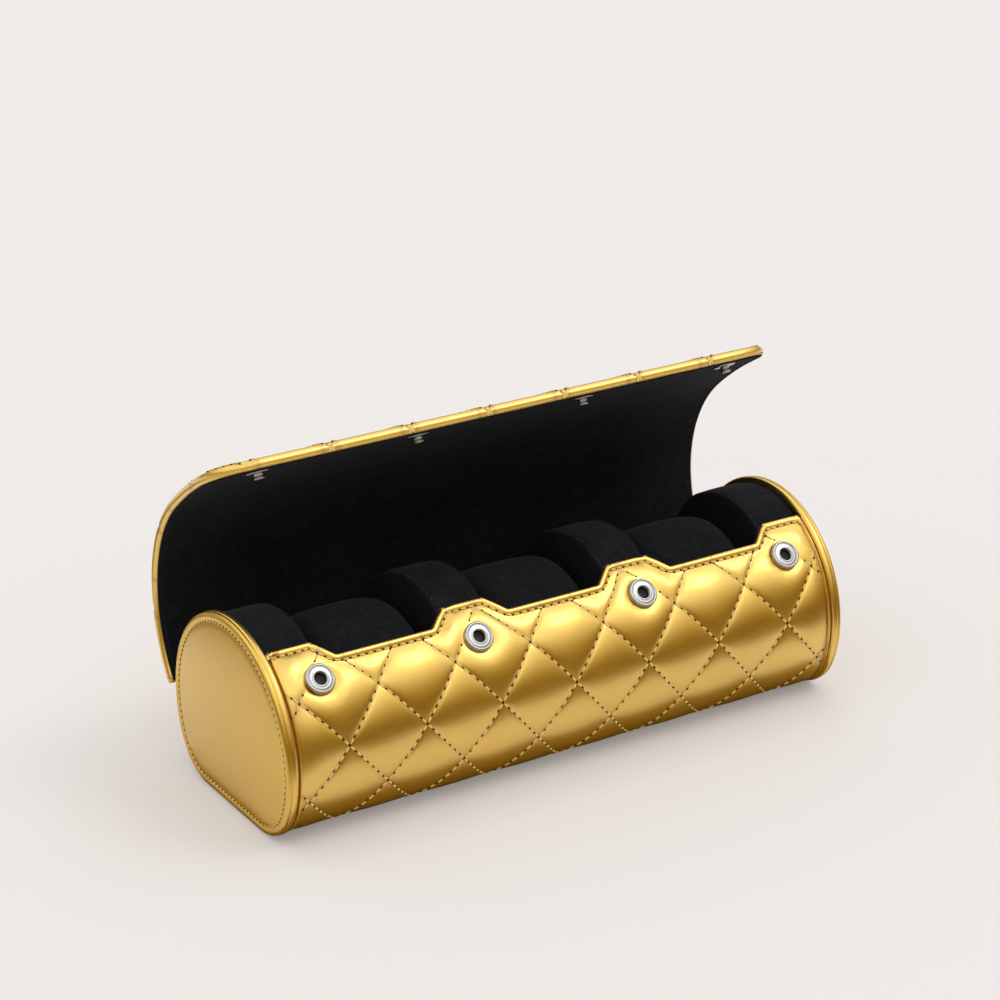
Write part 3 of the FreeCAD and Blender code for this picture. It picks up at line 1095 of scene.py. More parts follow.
def even_field(outline: Outline, columns: int, rows: int) -> bmesh.types.BMesh:
    """An even flat grid, cut to the inner line of an outline's border.

    Args:
        outline: The outline.
        columns: Faces along x before the cut.
        rows: Faces along s before the cut.

    Returns:
        The grid, in x and s.
    """
    bm = patch(columns, rows)
    unit = coordinates(bm)
    low, high = outline.points.min(axis=0) - 1.0, outline.points.max(axis=0) + 1.0
    place(bm, np.column_stack([low + unit[:, :2] * (high - low), np.zeros(len(unit))]))
    trim(bm, outline)
    return bm


def rounded(v: bmesh.types.BMVert) -> tuple[float, ...]:
    """A vertex's place, rounded so that it can be looked up."""
    return tuple(round(c, 5) for c in v.co)


def grow_border(bm: bmesh.types.BMesh, outline: Outline, rings: Sequence[tuple[float, float, float]],
                shape: OnRows | None = None) -> None:
    """Extrude a trimmed field's edge outwards through the rings of a border.

    Args:
        bm: The flat field with its heights.
        outline: The outline that it was trimmed to.
        rings: For each ring its share of the border width, a further distance and a height.
        shape: A last change to the rows of x, s and h of a ring.
    """
    edges = open_edges(bm)
    verts = list({v for e in edges for v in e.verts})
    side, fraction, _ = outline.nearest(np.array([v.co[:2] for v in verts]))
    known = {rounded(v): (i, t) for v, i, t in zip(verts, side, fraction)}
    for share, extra, height in rings:
        edges, verts = extruded(bm, edges)
        found = [known[rounded(v)] for v in verts]
        ring = outline.ring(share, extra)
        following = np.roll(ring, -1, axis=0)
        rows = np.array([[*(ring[i] * (1 - t) + following[i] * t), height] for i, t in found])
        if shape is not None:
            rows = shape(rows)
        known = {}
        for v, row, mark in zip(verts, rows, found):
            v.co = row
            known[rounded(v)] = mark


def mark_seam_shade(bm: bmesh.types.BMesh, amount: np.ndarray, first: int = 0) -> None:
    """Keep how near each vertex is to a seam, for the painted shade that darkens the leather's colour there,
    from one vertex on.

    Args:
        bm: The mesh.
        amount: How near each is, from 0 to 1.
        first: Index of the first vertex.
    """
    layer = bm.verts.layers.float.get("seam") or bm.verts.layers.float.new("seam")
    for v, number in zip(bm.verts[:][first:], amount):
        v[layer] = number


@dataclass
class Quilt:
    """A diamond quilt: where its seams run and how its mesh lies along them."""

    pitch_x: float
    pitch_s: float
    origin: tuple[float, float]
    divisions: int = 12
    crowding: float = 0.11
    roundness: float = 0.55
    seam_shade_reach: float = 0.34

    def lattice(self, places: np.ndarray) -> tuple[np.ndarray, np.ndarray]:
        """Places counted in diamonds, so that the seams lie at whole numbers.

        Args:
            places: Rows of x and s.

        Returns:
            The counts along the two ways of the seams.
        """
        x = (places[:, 0] - self.origin[0]) / self.pitch_x
        s = (places[:, 1] - self.origin[1]) / self.pitch_s
        return x + s, x - s

    def flat(self, a: np.ndarray, b: np.ndarray) -> np.ndarray:
        """Places in x and s of lattice numbers."""
        x = self.origin[0] + (a + b) / 2 * self.pitch_x
        return np.column_stack([x, self.origin[1] + (a - b) / 2 * self.pitch_s])

    def span(self, outline: Outline) -> tuple[int, int, int, int]:
        """Whole lattice numbers that cover an outline.

        Args:
            outline: The outline.

        Returns:
            The least and the greatest count of each way.
        """
        a, b = self.lattice(outline.points)
        a_span = math.floor(a.min()) - 1, math.ceil(a.max()) + 1
        return *a_span, math.floor(b.min()) - 1, math.ceil(b.max()) + 1

    def grid(self, outline: Outline) -> bmesh.types.BMesh:
        """A flat grid along the seams, closer near them.

        Args:
            outline: The pattern that it has to cover.

        Returns:
            The grid, in x and s.
        """
        a0, a1, b0, b1 = self.span(outline)
        bm = patch((a1 - a0) * self.divisions, (b1 - b0) * self.divisions)
        unit = coordinates(bm)
        counts = [a0 + unit[:, 0] * (a1 - a0), b0 + unit[:, 1] * (b1 - b0)]
        a, b = (n - self.crowding * np.sin(2 * math.pi * n) for n in counts)
        place(bm, np.column_stack([self.flat(a, b), np.zeros(len(unit))]))
        return bm

    def form(self, places: np.ndarray) -> np.ndarray:
        """How full the quilt is: 0 on a seam and 1 in the middle of a diamond."""
        a, b = self.lattice(places)
        return np.abs(np.sin(math.pi * a) * np.sin(math.pi * b)) ** self.roundness

    def quilted(self, outline: Outline, level: OnRows) -> bmesh.types.BMesh:
        """A cover's field inside its border, raised and with its seams marked for painted shade.

        Args:
            outline: The cover's outline.
            level: The leather's height at places.

        Returns:
            The field, in x, s and h.
        """
        bm = self.grid(outline)
        trim(bm, outline)
        raise_field(bm, level)
        # The seams are marked for painted shade, which fades out within the reach.
        mark_seam_shade(bm, 1.0 - smooth(0.0, self.seam_shade_reach, self.form(coordinates(bm))))
        return bm

    def seams(self, outline: Outline, stitching: Stitching, keep: OnRows) -> list[np.ndarray]:
        """Needle rows along the seams.

        Args:
            outline: The pattern that they stay inside.
            stitching: The stitches.
            keep: Which places may be sewn.

        Returns:
            Runs of needle places in x and s.
        """
        a0, a1, b0, b1 = self.span(outline)
        per_side = math.hypot(self.pitch_x, self.pitch_s) / 2 / stitching.pitch
        rows = []
        for along_a in (True, False):
            low, high, first, last = (a0, a1, b0, b1) if along_a else (b0, b1, a0, a1)
            steps = np.linspace(low, high, round((high - low) * round(per_side)) + 1)
            for k in range(first, last + 1):
                fixed = np.full(len(steps), float(k))
                line = self.flat(steps, fixed) if along_a else self.flat(fixed, steps)
                good = keep(line)
                for run in np.split(np.arange(len(line)), np.where(np.diff(good.astype(int)) != 0)[0] + 1):
                    if good[run[0]] and len(run) > 1:
                        rows.append(line[run])
        return rows


# Sub-assemblies


@dataclass
class TubCover:
    """The tub's quilted leather, with a bound and stitched front edge that rises into four tabs."""

    half_length: float = 104.1
    valley: float = 6.81
    tab_slant: float = 6.6
    inner_tab: tuple[float, float] = (17.77, 46.57)
    end_tab: float = 82.2
    rounding: float = 0.6
    front_depth: float = 12.0
    binding: float = 2.6
    side_border: float = 0.8
    border_top: float = 0.5
    # Heights in the border whose groove is darkened with painted shade.
    groove: tuple[float, float] = (-0.5, -0.3)
    stitch_share: float = 0.05
    seam_level: float = -0.35
    seam_clear: float = 0.15
    puff_top: float = 1.6
    puff_low: float = 0.7
    puff_under: float = 0.35
    puff_fade: tuple[float, float] = (18.0, 58.0)
    puff_edge: float = 4.5
    under_front: tuple[float, float] = (58.0, 74.0)
    under_back: tuple[float, float] = (128.0, 144.0)
    snap_seat: tuple[float, float] = (4.9, 8.5)
    snap_level: float = 0.02
    snap_well: tuple[float, float] = (2.7, 4.2)
    well_depth: float = 2.6
    snap_clear: float = 5.6
    quilt: Quilt = field(default_factory=lambda: Quilt(28.65, 34.4, (0.0, 36.8)))
    stitching: Stitching = field(default_factory=Stitching)
    rings: tuple = (
        (0.08, 0.0, -0.42), (0.20, 0.0, -0.10), (0.40, 0.0, 0.30), (0.66, 0.0, 0.42), (0.90, 0.0, 0.24),
        (1.0, 0.12, -0.25), (1.0, 0.28, -0.90), (1.0, 0.28, -1.70), (1.0, 0.10, -2.30), (0.85, 0.0, -2.55),
        (0.50, 0.0, -2.55),
    )

    def __post_init__(self) -> None:
        """Lay out the section and the pattern's edge."""
        self.line = case_section(COVER_INSET, 0.0, FRONT_EDGE, BACK_EDGE)
        near, far = self.inner_tab
        slant, end, v = self.tab_slant, self.end_tab, self.valley
        right = [(near, v), (near + slant, 0.0), (far - slant, 0.0), (far, v), (end, v), (end + slant, 0.0)]
        left = [(-x, s) for x, s in reversed(right)]
        top = [(-self.half_length, 0.0), *left, *right, (self.half_length, 0.0)]
        corners = [(-self.half_length, self.line.length), *top, (self.half_length, self.line.length)]
        count = len(corners)
        widths = [self.binding] * count
        widths[0] = widths[-2] = widths[-1] = self.side_border
        self.outline = Outline(corners, [self.rounding] * count, widths)

    def under(self, s: np.ndarray) -> np.ndarray:
        """How much a place along the section belongs to the flat underside."""
        return smooth(*self.under_front, s) * (1.0 - smooth(*self.under_back, s))

    def level(self, places: np.ndarray) -> np.ndarray:
        """The leather's height at places.

        Args:
            places: Rows of x and s.

        Returns:
            Heights above the section.
        """
        s = places[:, 1]
        full = self.puff_top + (self.puff_low - self.puff_top) * smooth(*self.puff_fade, s)
        full = full + (self.puff_under - full) * self.under(s)
        edge = smooth(0.0, self.puff_edge, self.outline.nearest(places)[2])
        height = self.seam_level + full * self.quilt.form(places) * edge
        gap = snap_gap(places, RIM_RADIUS - COVER_INSET)
        height = height + (self.snap_level - height) * (1.0 - smooth(*self.snap_seat, gap))
        return height - self.well_depth * (1.0 - smooth(*self.snap_well, gap))

    def flattened(self, ring: np.ndarray) -> np.ndarray:
        """Keep the border from standing out under the case.

        Args:
            ring: Rows of x, s and h.

        Returns:
            The changed rows.
        """
        ring[:, 2] = np.minimum(ring[:, 2], self.border_top * (1.0 - self.under(ring[:, 1])))
        return ring

    def sewable(self, places: np.ndarray) -> np.ndarray:
        """Which places are clear of the snaps and the binding.

        Args:
            places: Rows of x and s.

        Returns:
            True for each place that may be sewn.
        """
        clear = snap_gap(places, RIM_RADIUS - COVER_INSET) > self.snap_clear
        inner = self.outline.inside(places) & (self.outline.nearest(places)[2] > self.seam_clear)
        lower = self.outline.inside(places, 1.0) & (places[:, 1] > self.front_depth)
        return clear & (inner | lower)

    def build(self) -> list[bpy.types.Object]:
        """Cut, quilt, bind and sew the cover.

        Returns:
            The leather and its stitches.
        """
        bm = self.quilt.quilted(self.outline, self.level)
        inner = len(bm.verts)
        grow_border(bm, self.outline, self.rings, self.flattened)
        # Painted shade in the groove between the quilt and the binding: border vertices at heights within the
        # groove get the full seam mark.
        low, high = self.groove
        heights = coordinates(bm)[inner:, 2]
        mark_seam_shade(bm, ((heights > low) & (heights < high)).astype(float), inner)
        place(bm, self.line.wrap(coordinates(bm)))
        leather = piece(bm, "tub_quilted_leather", GOLD)
        settle(leather, Body.CASE, Slot.GOLD, "body_cover")
        rows = self.quilt.seams(self.outline, self.stitching, self.sewable)
        ring = self.outline.ring(self.stitch_share)
        rows.append(self.stitching.needles(ring[ring[:, 1] < self.front_depth]))
        sewn = self.stitching.sew(rows, self.level, self.line)
        thread = piece(sewn, "tub_stitches", GOLD_THREAD, NEEDLE_HOLE_SHADE)
        settle(thread, Body.CASE, Slot.GOLD)
        return [leather, thread]


@dataclass
class TubLining:
    """The suede inside the tub, tucked under the binding and sunk under the eyelets, and on its two ends."""

    cover: TubCover = field(default_factory=TubCover)
    inset: float = 3.0
    hem: float = 1.2
    sink: float = 0.11
    wave: float = 0.07
    wave_lengths: tuple[float, float, float, float] = (11.0, 15.0, 9.0, 23.0)
    eyelet: tuple[float, float] = (4.2, 5.4)
    eyelet_sink: float = 0.34
    eyelet_hole: float = 3.4
    rings: tuple = ((0.4, -0.1, -0.14), (0.8, -0.3, -0.18), (1.0, -0.4, -0.38))
    end: float = 105.76
    end_rings: tuple = ((16.0, 0.0), (5.0, 0.0), (0.7, 0.01), (0.25, 0.08), (0.20, 0.28), (4.0, 0.30))

    def __post_init__(self) -> None:
        """Lay out the section and the pattern's edge."""
        self.line = case_section(self.inset, self.inset - COVER_INSET, FRONT_EDGE, BACK_EDGE, inward=True)
        shrink = self.line.length / self.cover.line.length
        corners = [(x, s * shrink) for x, s in self.cover.outline.corners]
        count = len(corners)
        self.outline = Outline(corners, [self.cover.rounding] * count, [self.hem] * count)

    def eyelet_gap(self, places: np.ndarray) -> np.ndarray:
        """How far places are from the nearest eyelet's middle."""
        return snap_gap(places, RIM_RADIUS - self.inset)

    def level(self, places: np.ndarray) -> np.ndarray:
        """The suede's height: the slight waves of glued cloth, sunk under the eyelets' flanges.

        Args:
            places: Rows of x and s.

        Returns:
            Heights above the section.
        """
        under = 1.0 - smooth(*self.eyelet, self.eyelet_gap(places))
        return self.wave * waves(places, self.wave_lengths) - self.sink - self.eyelet_sink * under

    def end_suede(self, side: Side) -> bmesh.types.BMesh:
        """The suede on the inside of one end, in metres.

        Args:
            side: Which end.

        Returns:
            The mesh.
        """
        rings = [(depth, self.end + back) for depth, back in self.end_rings]
        bm = swept_rings(case_section(self.inset, self.inset - COVER_INSET), rings, 96)
        rows = coordinates(bm) / MM
        pinch_ends(rows, len(rings))
        rows[:, 0] *= side.value
        place(bm, rows * MM)
        return closed(bm)

    def build(self) -> list[bpy.types.Object]:
        """Cut and lay the lining, and line the two ends.

        Returns:
            The three pieces of suede.
        """
        bm = even_field(self.outline, 140, 110)
        raise_field(bm, self.level)
        grow_border(bm, self.outline, self.rings)
        near = self.eyelet_gap(face_middles(bm.faces)) < self.eyelet_hole
        holes = [f for f, good in zip(bm.faces[:], near) if good]
        bmesh.ops.delete(bm, geom=holes, context="FACES")
        place(bm, self.line.wrap(coordinates(bm)))
        bmesh.ops.reverse_faces(bm, faces=bm.faces)
        made = [settle(piece(bm, "tub_suede", SUEDE), Body.CASE, Slot.SUEDE, "body_lining")]
        for side in Side:
            name = side.name.lower()
            suede = piece(self.end_suede(side), f"{name}_end_suede", SUEDE, outward=True)
            made.append(settle(suede, Body.CASE, Slot.SUEDE, f"{name}_cap_lining"))
        return made


@dataclass
class EndCap:
    """A padded leather end in a piped rim, with a sewn border."""

    side: Side
    rim: tuple[float, float, float, float] = (1.35, 106.2, 1.5, 1.35)
    rim_squareness: float = 0.78
    border: tuple = (
        (1.6, 106.6), (0.45, 107.05), (0.05, 107.45), (0.12, 107.95), (0.45, 108.45), (1.05, 108.80),
        (1.75, 108.90), (2.35, 108.74), (2.75, 108.50), (3.0, 108.46), (3.3, 108.54), (4.0, 108.76),
        (5.6, 109.0),
    )
    middle: tuple[float, float] = (109.0, 1.8)
    middle_rings: int = 7
    steps: int = 168
    stitch_depth: float = 2.95
    stitch_x: float = 108.46
    stitching: Stitching = field(default_factory=lambda: Stitching(2.2, 1.55, 0.62, 0.48, 0.25))

    def face(self) -> bmesh.types.BMesh:
        """The face: border, groove and slightly crowned middle, in metres.

        Returns:
            The mesh.
        """
        extra = self.middle_rings
        bm = swept_rings(case_section(0.0, 0.0), [*self.border, *self.border[-1:] * extra], self.steps)
        rows = coordinates(bm) / MM
        start = len(self.border) - 1
        count = len(rows) // (start + extra + 1)
        base, crown = self.middle
        for i in range(1, extra + 1):
            left = 1.0 - i / extra
            band = slice((start + i) * count, (start + i + 1) * count)
            rows[band, 1:] = END_MIDDLE + (rows[band, 1:] - END_MIDDLE) * left
            rows[band, 0] = base + crown * (1.0 - left ** 2)
        place(bm, rows * MM)
        return closed(bm)

    def bead(self) -> bmesh.types.BMesh:
        """The piped rim, in metres.

        Returns:
            The mesh.
        """
        depth, x, a, b = self.rim
        turns = np.linspace(0.0, 2 * math.pi, 17)
        c, s = (np.sign(n) * np.abs(n) ** self.rim_squareness for n in (np.cos(turns), np.sin(turns)))
        return closed(swept_rings(case_section(0.0, 0.0), list(zip(depth + a * c, x + b * s)), self.steps))

    def stitches(self) -> bmesh.types.BMesh:
        """The stitches of the border, in metres.

        Returns:
            The mesh.
        """
        line = case_section(self.stitch_depth, self.stitch_depth)
        row = self.stitching.needles(round_path(line))
        return self.stitching.sew([row], lambda places: np.zeros(len(places)), FlatFace(line, self.stitch_x))

    def build(self) -> list[bpy.types.Object]:
        """Make the end's rim, face and stitches.

        Returns:
            The three pieces.
        """
        name = self.side.name.lower()
        parts = [
            (self.bead(), f"{name}_piped_rim", (GOLD,), (f"{name}_cap_piping",)),
            (self.face(), f"{name}_end_face", (CAP_GOLD,), (f"{name}_cap_cover",)),
            (self.stitches(), f"{name}_end_stitches", (GOLD_THREAD, NEEDLE_HOLE_SHADE), ()),
        ]
        made = []
        for bm, title, finishes, nodes in parts:
            if self.side is Side.LEFT:
                bmesh.ops.scale(bm, vec=(-1.0, 1.0, 1.0), verts=bm.verts)
            made.append(settle(piece(bm, title, *finishes, outward=True), Body.CASE, Slot.GOLD, *nodes))
        return made


@dataclass
class Divider:
    """A foam divider in sewn suede, with a turned edge along each side of its band."""

    number: int
    centre: float
    inset: tuple[float, float] = (3.2, 2.6)
    half_width: float = 9.0
    edge: tuple = (
        (12.0, 0.30), (5.0, 0.12), (1.0, 0.05), (0.35, 0.22), (0.0, 0.7), (-0.02, 1.10), (0.42, 1.42),
        (0.04, 1.75), (-0.10, 3.0), (-0.20, 5.4),
    )
    band_depth: float = -0.22
    steps: int = 132
    crown: float = 1.5
    crown_back: tuple[float, float] = (20.0, 60.0)
    crown_front: tuple[float, float] = (98.0, 122.0)
    stitch_edge: float = 1.42
    stitch_sink: float = 0.16
    stitching: Stitching = field(default_factory=lambda: Stitching(2.6, 1.7, 0.26, 0.20, 0.12))

    def rise(self, rows: np.ndarray) -> np.ndarray:
        """How far the top stands above the round section, at rows of x, y and z in millimetres."""
        angle = np.degrees(np.arctan2(rows[:, 2] - AXIS[1], rows[:, 1]))
        return self.crown * smooth(*self.crown_back, angle) * (1.0 - smooth(*self.crown_front, angle))

    def lift(self, places: np.ndarray) -> np.ndarray:
        """The stitches' height on the section."""
        rows = case_section(*self.inset).wrap(np.column_stack([places, np.zeros(len(places))])) / MM
        return self.rise(rows) - self.stitch_sink

    def build(self) -> list[bpy.types.Object]:
        """Make the divider and its edge stitches.

        Returns:
            The two pieces.
        """
        w, line = self.half_width, case_section(*self.inset)
        left = [(depth, x - w) for depth, x in self.edge]
        rings = left + [(self.band_depth, 0.0)] + [(depth, -x) for depth, x in reversed(left)]
        bm = swept_rings(line, rings, self.steps)
        rows = coordinates(bm) / MM
        pinch_ends(rows, len(rings))
        crown = 1.0 + self.rise(rows) / (RIM_RADIUS - self.inset[0])
        rows[:, 1] *= crown
        rows[:, 2] = AXIS[1] + (rows[:, 2] - AXIS[1]) * crown
        rows[:, 0] += self.centre
        place(bm, rows * MM)
        name = f"divider_{self.number}"
        body = piece(closed(bm), f"{name}_suede", SUEDE, outward=True)
        settle(body, Body.CASE, Slot.SUEDE, f"{name}_wrap", f"{name}_core")
        places = [self.centre + sign * (w - self.stitch_edge) for sign in (-1, 1)]
        needles = [self.stitching.needles(round_path(line) + [x, 0.0]) for x in places]
        sewn = self.stitching.sew(needles, self.lift, line)
        thread = piece(sewn, f"{name}_stitches", BLACK_THREAD, BLACK_THREAD)
        settle(thread, Body.CASE, Slot.SUEDE)
        return [body, thread]


@dataclass
class Pillow:
    """A stuffed suede roll: a slack sleeve that is blown up against its seams, and copied along the case."""

    radius: float = 28.8
    half_width: float = 21.0
    height: float = 31.4
    slack: float = 0.9
    shoulder: tuple = ((6.0, 0.1), (2.9, 1.3), (0.9, 3.9), (0.4, 7.0))
    steps: int = 96
    voxel: float = 3.2
    pressure: float = 90.0
    stiffness: float = 25.0
    frames: int = 20
    limit: float = 1.5
    turn: float = 37.0
    centres: tuple[float, ...] = (-COMPARTMENT, 0.0, COMPARTMENT)

    def sleeve(self) -> bpy.types.Object:
        """The slack sleeve, turned about the case's axis.

        Returns:
            The sleeve's object.
        """
        r, w = self.radius - self.slack, self.half_width - self.slack
        shoulder = [(r - depth, x - w) for depth, x in self.shoulder]
        profile = [(0.0, -w), (r * 0.5, -w), *shoulder, (r, -w * 0.3)]
        profile = profile + [(d, -x) for d, x in reversed(profile)]
        bm = turned(profile, self.steps)
        bmesh.ops.rotate(bm, verts=bm.verts, cent=(0, 0, 0), matrix=Matrix.Rotation(math.pi / 2, 3, "Y"))
        bmesh.ops.translate(bm, verts=bm.verts, vec=(0.0, 0.0, self.height))
        bmesh.ops.scale(bm, verts=bm.verts, vec=(MM, MM, MM))
        return piece(bm, "pillow_sleeve", SUEDE, outward=True)

    def blown(self, sleeve: bpy.types.Object) -> bpy.types.Mesh:
        """Remesh the sleeve and let cloth pressure fill it.

        Args:
            sleeve: The slack sleeve, which is removed.

        Returns:
            The filled mesh.
        """
        scene = bpy.context.scene
        remesh = sleeve.modifiers.new("voxels", "REMESH")
        remesh.mode = "VOXEL"
        remesh.voxel_size = self.voxel * MM
        mesh = bpy.data.meshes.new_from_object(sleeve.evaluated_get(bpy.context.evaluated_depsgraph_get()))
        sleeve.modifiers.clear()
        sleeve.data = mesh
        rest = np.array([v.co for v in mesh.vertices])
        cloth = sleeve.modifiers.new("pressure", "CLOTH")
        cloth.settings.use_pressure = True
        cloth.settings.uniform_pressure_force = self.pressure
        cloth.settings.effector_weights.gravity = 0.0
        cloth.settings.tension_stiffness = self.stiffness
        cloth.settings.compression_stiffness = self.stiffness
        cloth.point_cache.frame_start, cloth.point_cache.frame_end = 1, self.frames
        for frame in range(1, self.frames + 1):
            scene.frame_set(frame)
        shown = sleeve.evaluated_get(bpy.context.evaluated_depsgraph_get()).to_mesh()
        moved = np.array([v.co for v in shown.vertices]) - rest
        far = np.linalg.norm(moved, axis=1)
        filled = rest + moved * np.minimum(1.0, self.limit * MM / np.maximum(far, 1e-9))[:, None]
        sleeve.modifiers.clear()
        scene.frame_set(1)
        mesh.vertices.foreach_set("co", filled.astype(np.float32).ravel())
        bpy.data.objects.remove(sleeve)
        return mesh

    def build(self) -> list[bpy.types.Object]:
        """Fill one pillow and lay a turned copy in each compartment.

        Returns:
            The three pillows.
        """
        mesh = self.blown(self.sleeve())
        size = np.array([self.half_width, self.radius, self.radius])
        middle = Vector((0.0, 0.0, self.height)) * MM
        made = []
        for i, x in enumerate(self.centres):
            bm = bmesh.new()
            bm.from_mesh(mesh)
            for _ in range(3):
                bmesh.ops.smooth_vert(bm, verts=bm.verts, factor=0.5, use_axis_x=True, use_axis_y=True,
                                      use_axis_z=True)
            full = Matrix.Diagonal(size / (np.ptp(coordinates(bm), axis=0) / MM / 2)).to_4x4()
            bmesh.ops.transform(bm, verts=bm.verts, matrix=full, space=Matrix.Translation(-middle))
            turn = Matrix.Rotation(math.radians(self.turn * i), 3, "X")
            bmesh.ops.rotate(bm, verts=bm.verts, cent=middle, matrix=turn)
            bmesh.ops.translate(bm, verts=bm.verts, vec=(x * MM, 0.0, 0.0))
            body = piece(bm, f"pillow_{i + 1}_suede", SUEDE, outward=True)
            soft = body.modifiers.new("soft", "SUBSURF")
            soft.levels = soft.render_levels = 1
            settle(body, Body.CASE, Slot.SUEDE, f"pillow_{i + 1}_sleeve", f"pillow_{i + 1}_core")
            made.append(body)
        return made


@dataclass
class SnapRow:
    """The four snaps: ring sockets on the tabs and studs on the flap."""

    seat: float = 39.45
    stud_angle: float = 60.32
    steps: int = 40
    socket: tuple = (
        (4.85, -0.45), (5.06, 0.0), (5.12, 0.50), (5.04, 0.92), (4.80, 1.16), (4.50, 1.24), (4.28, 1.16),
        (4.19, 0.98), (4.11, 0.96), (4.00, 1.06), (3.40, 1.09), (2.86, 1.08), (2.70, 1.14), (2.48, 1.22),
        (2.26, 1.12), (2.12, 0.80), (2.08, 0.45), (2.45, 0.30), (2.45, -1.2), (1.6, -1.5), (0.0, -1.5),
    )
    well: tuple[float, float] = (2.5, 0.7)
    stud: tuple = (
        (3.75, -0.35), (3.95, 0.0), (3.90, 0.28), (3.55, 0.48), (2.5, 0.52), (1.95, 0.56), (1.62, 0.80),
        (1.50, 1.20), (1.58, 1.55), (1.76, 1.90), (1.80, 2.15), (1.66, 2.42), (1.30, 2.58), (0.85, 2.56),
        (0.55, 2.44), (0.0, 2.42),
    )

    @staticmethod
    def frame(x: float, centre: tuple[float, float], radius: float, angle: float, inward: bool) -> Matrix:
        """A place on an arc, with Z along its normal.

        Args:
            x: Place along the case.
            centre: The arc's middle in y and z.
            radius: The arc's radius.
            angle: The place's angle on it.
            inward: Whether Z points towards the middle.

        Returns:
            The matrix, from millimetres to metres.
        """
        turn = math.radians(angle)
        out = Vector((0.0, math.cos(turn), math.sin(turn)))
        up = -out if inward else out
        across = Vector((1.0, 0.0, 0.0))
        at = Vector((x, *centre)) + out * radius
        axes = Matrix((across, up.cross(across), up)).transposed().to_4x4()
        return Matrix.Diagonal((MM, MM, MM, 1.0)) @ Matrix.Translation(at) @ axes

    def build(self) -> list[bpy.types.Object]:
        """Turn the sockets and the studs.

        Returns:
            The two pieces.
        """
        on_tabs = [self.frame(x, AXIS, self.seat, SNAP_ANGLE, False) for x in SNAP_PLACES]
        on_flap = [self.frame(x, FLAP_CENTRE, FLAP_RADIUS, self.stud_angle, True) for x in SNAP_PLACES]
        ring = turned(self.socket, self.steps)
        # Faces low in the hole take the dark finish, as painted shade.
        radius, height = self.well
        for face in ring.faces:
            middle = face.calc_center_median()
            face.material_index = int(middle.z < height and middle.xy.length < radius)
        sockets = piece(copies(ring, on_tabs), "snap_socket_rings", NICKEL, SOCKET_WELL_SHADE, outward=True)
        studs = piece(copies(turned(self.stud, self.steps), on_flap), "snap_studs", NICKEL, outward=True)
        settle(sockets, Body.CASE, Slot.METAL, "front_snap_sockets")
        settle(studs, Body.FLAP, Slot.METAL, "flap_snap_studs")
        return [sockets, studs]


def bend_at_flap(made: bpy.types.Object) -> bpy.types.Object:
    """Bake a piece's place into its mesh; it is not bent between the lid and its flap.

    Args:
        made: The piece.

    Returns:
        The piece.
    """
    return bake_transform(made)


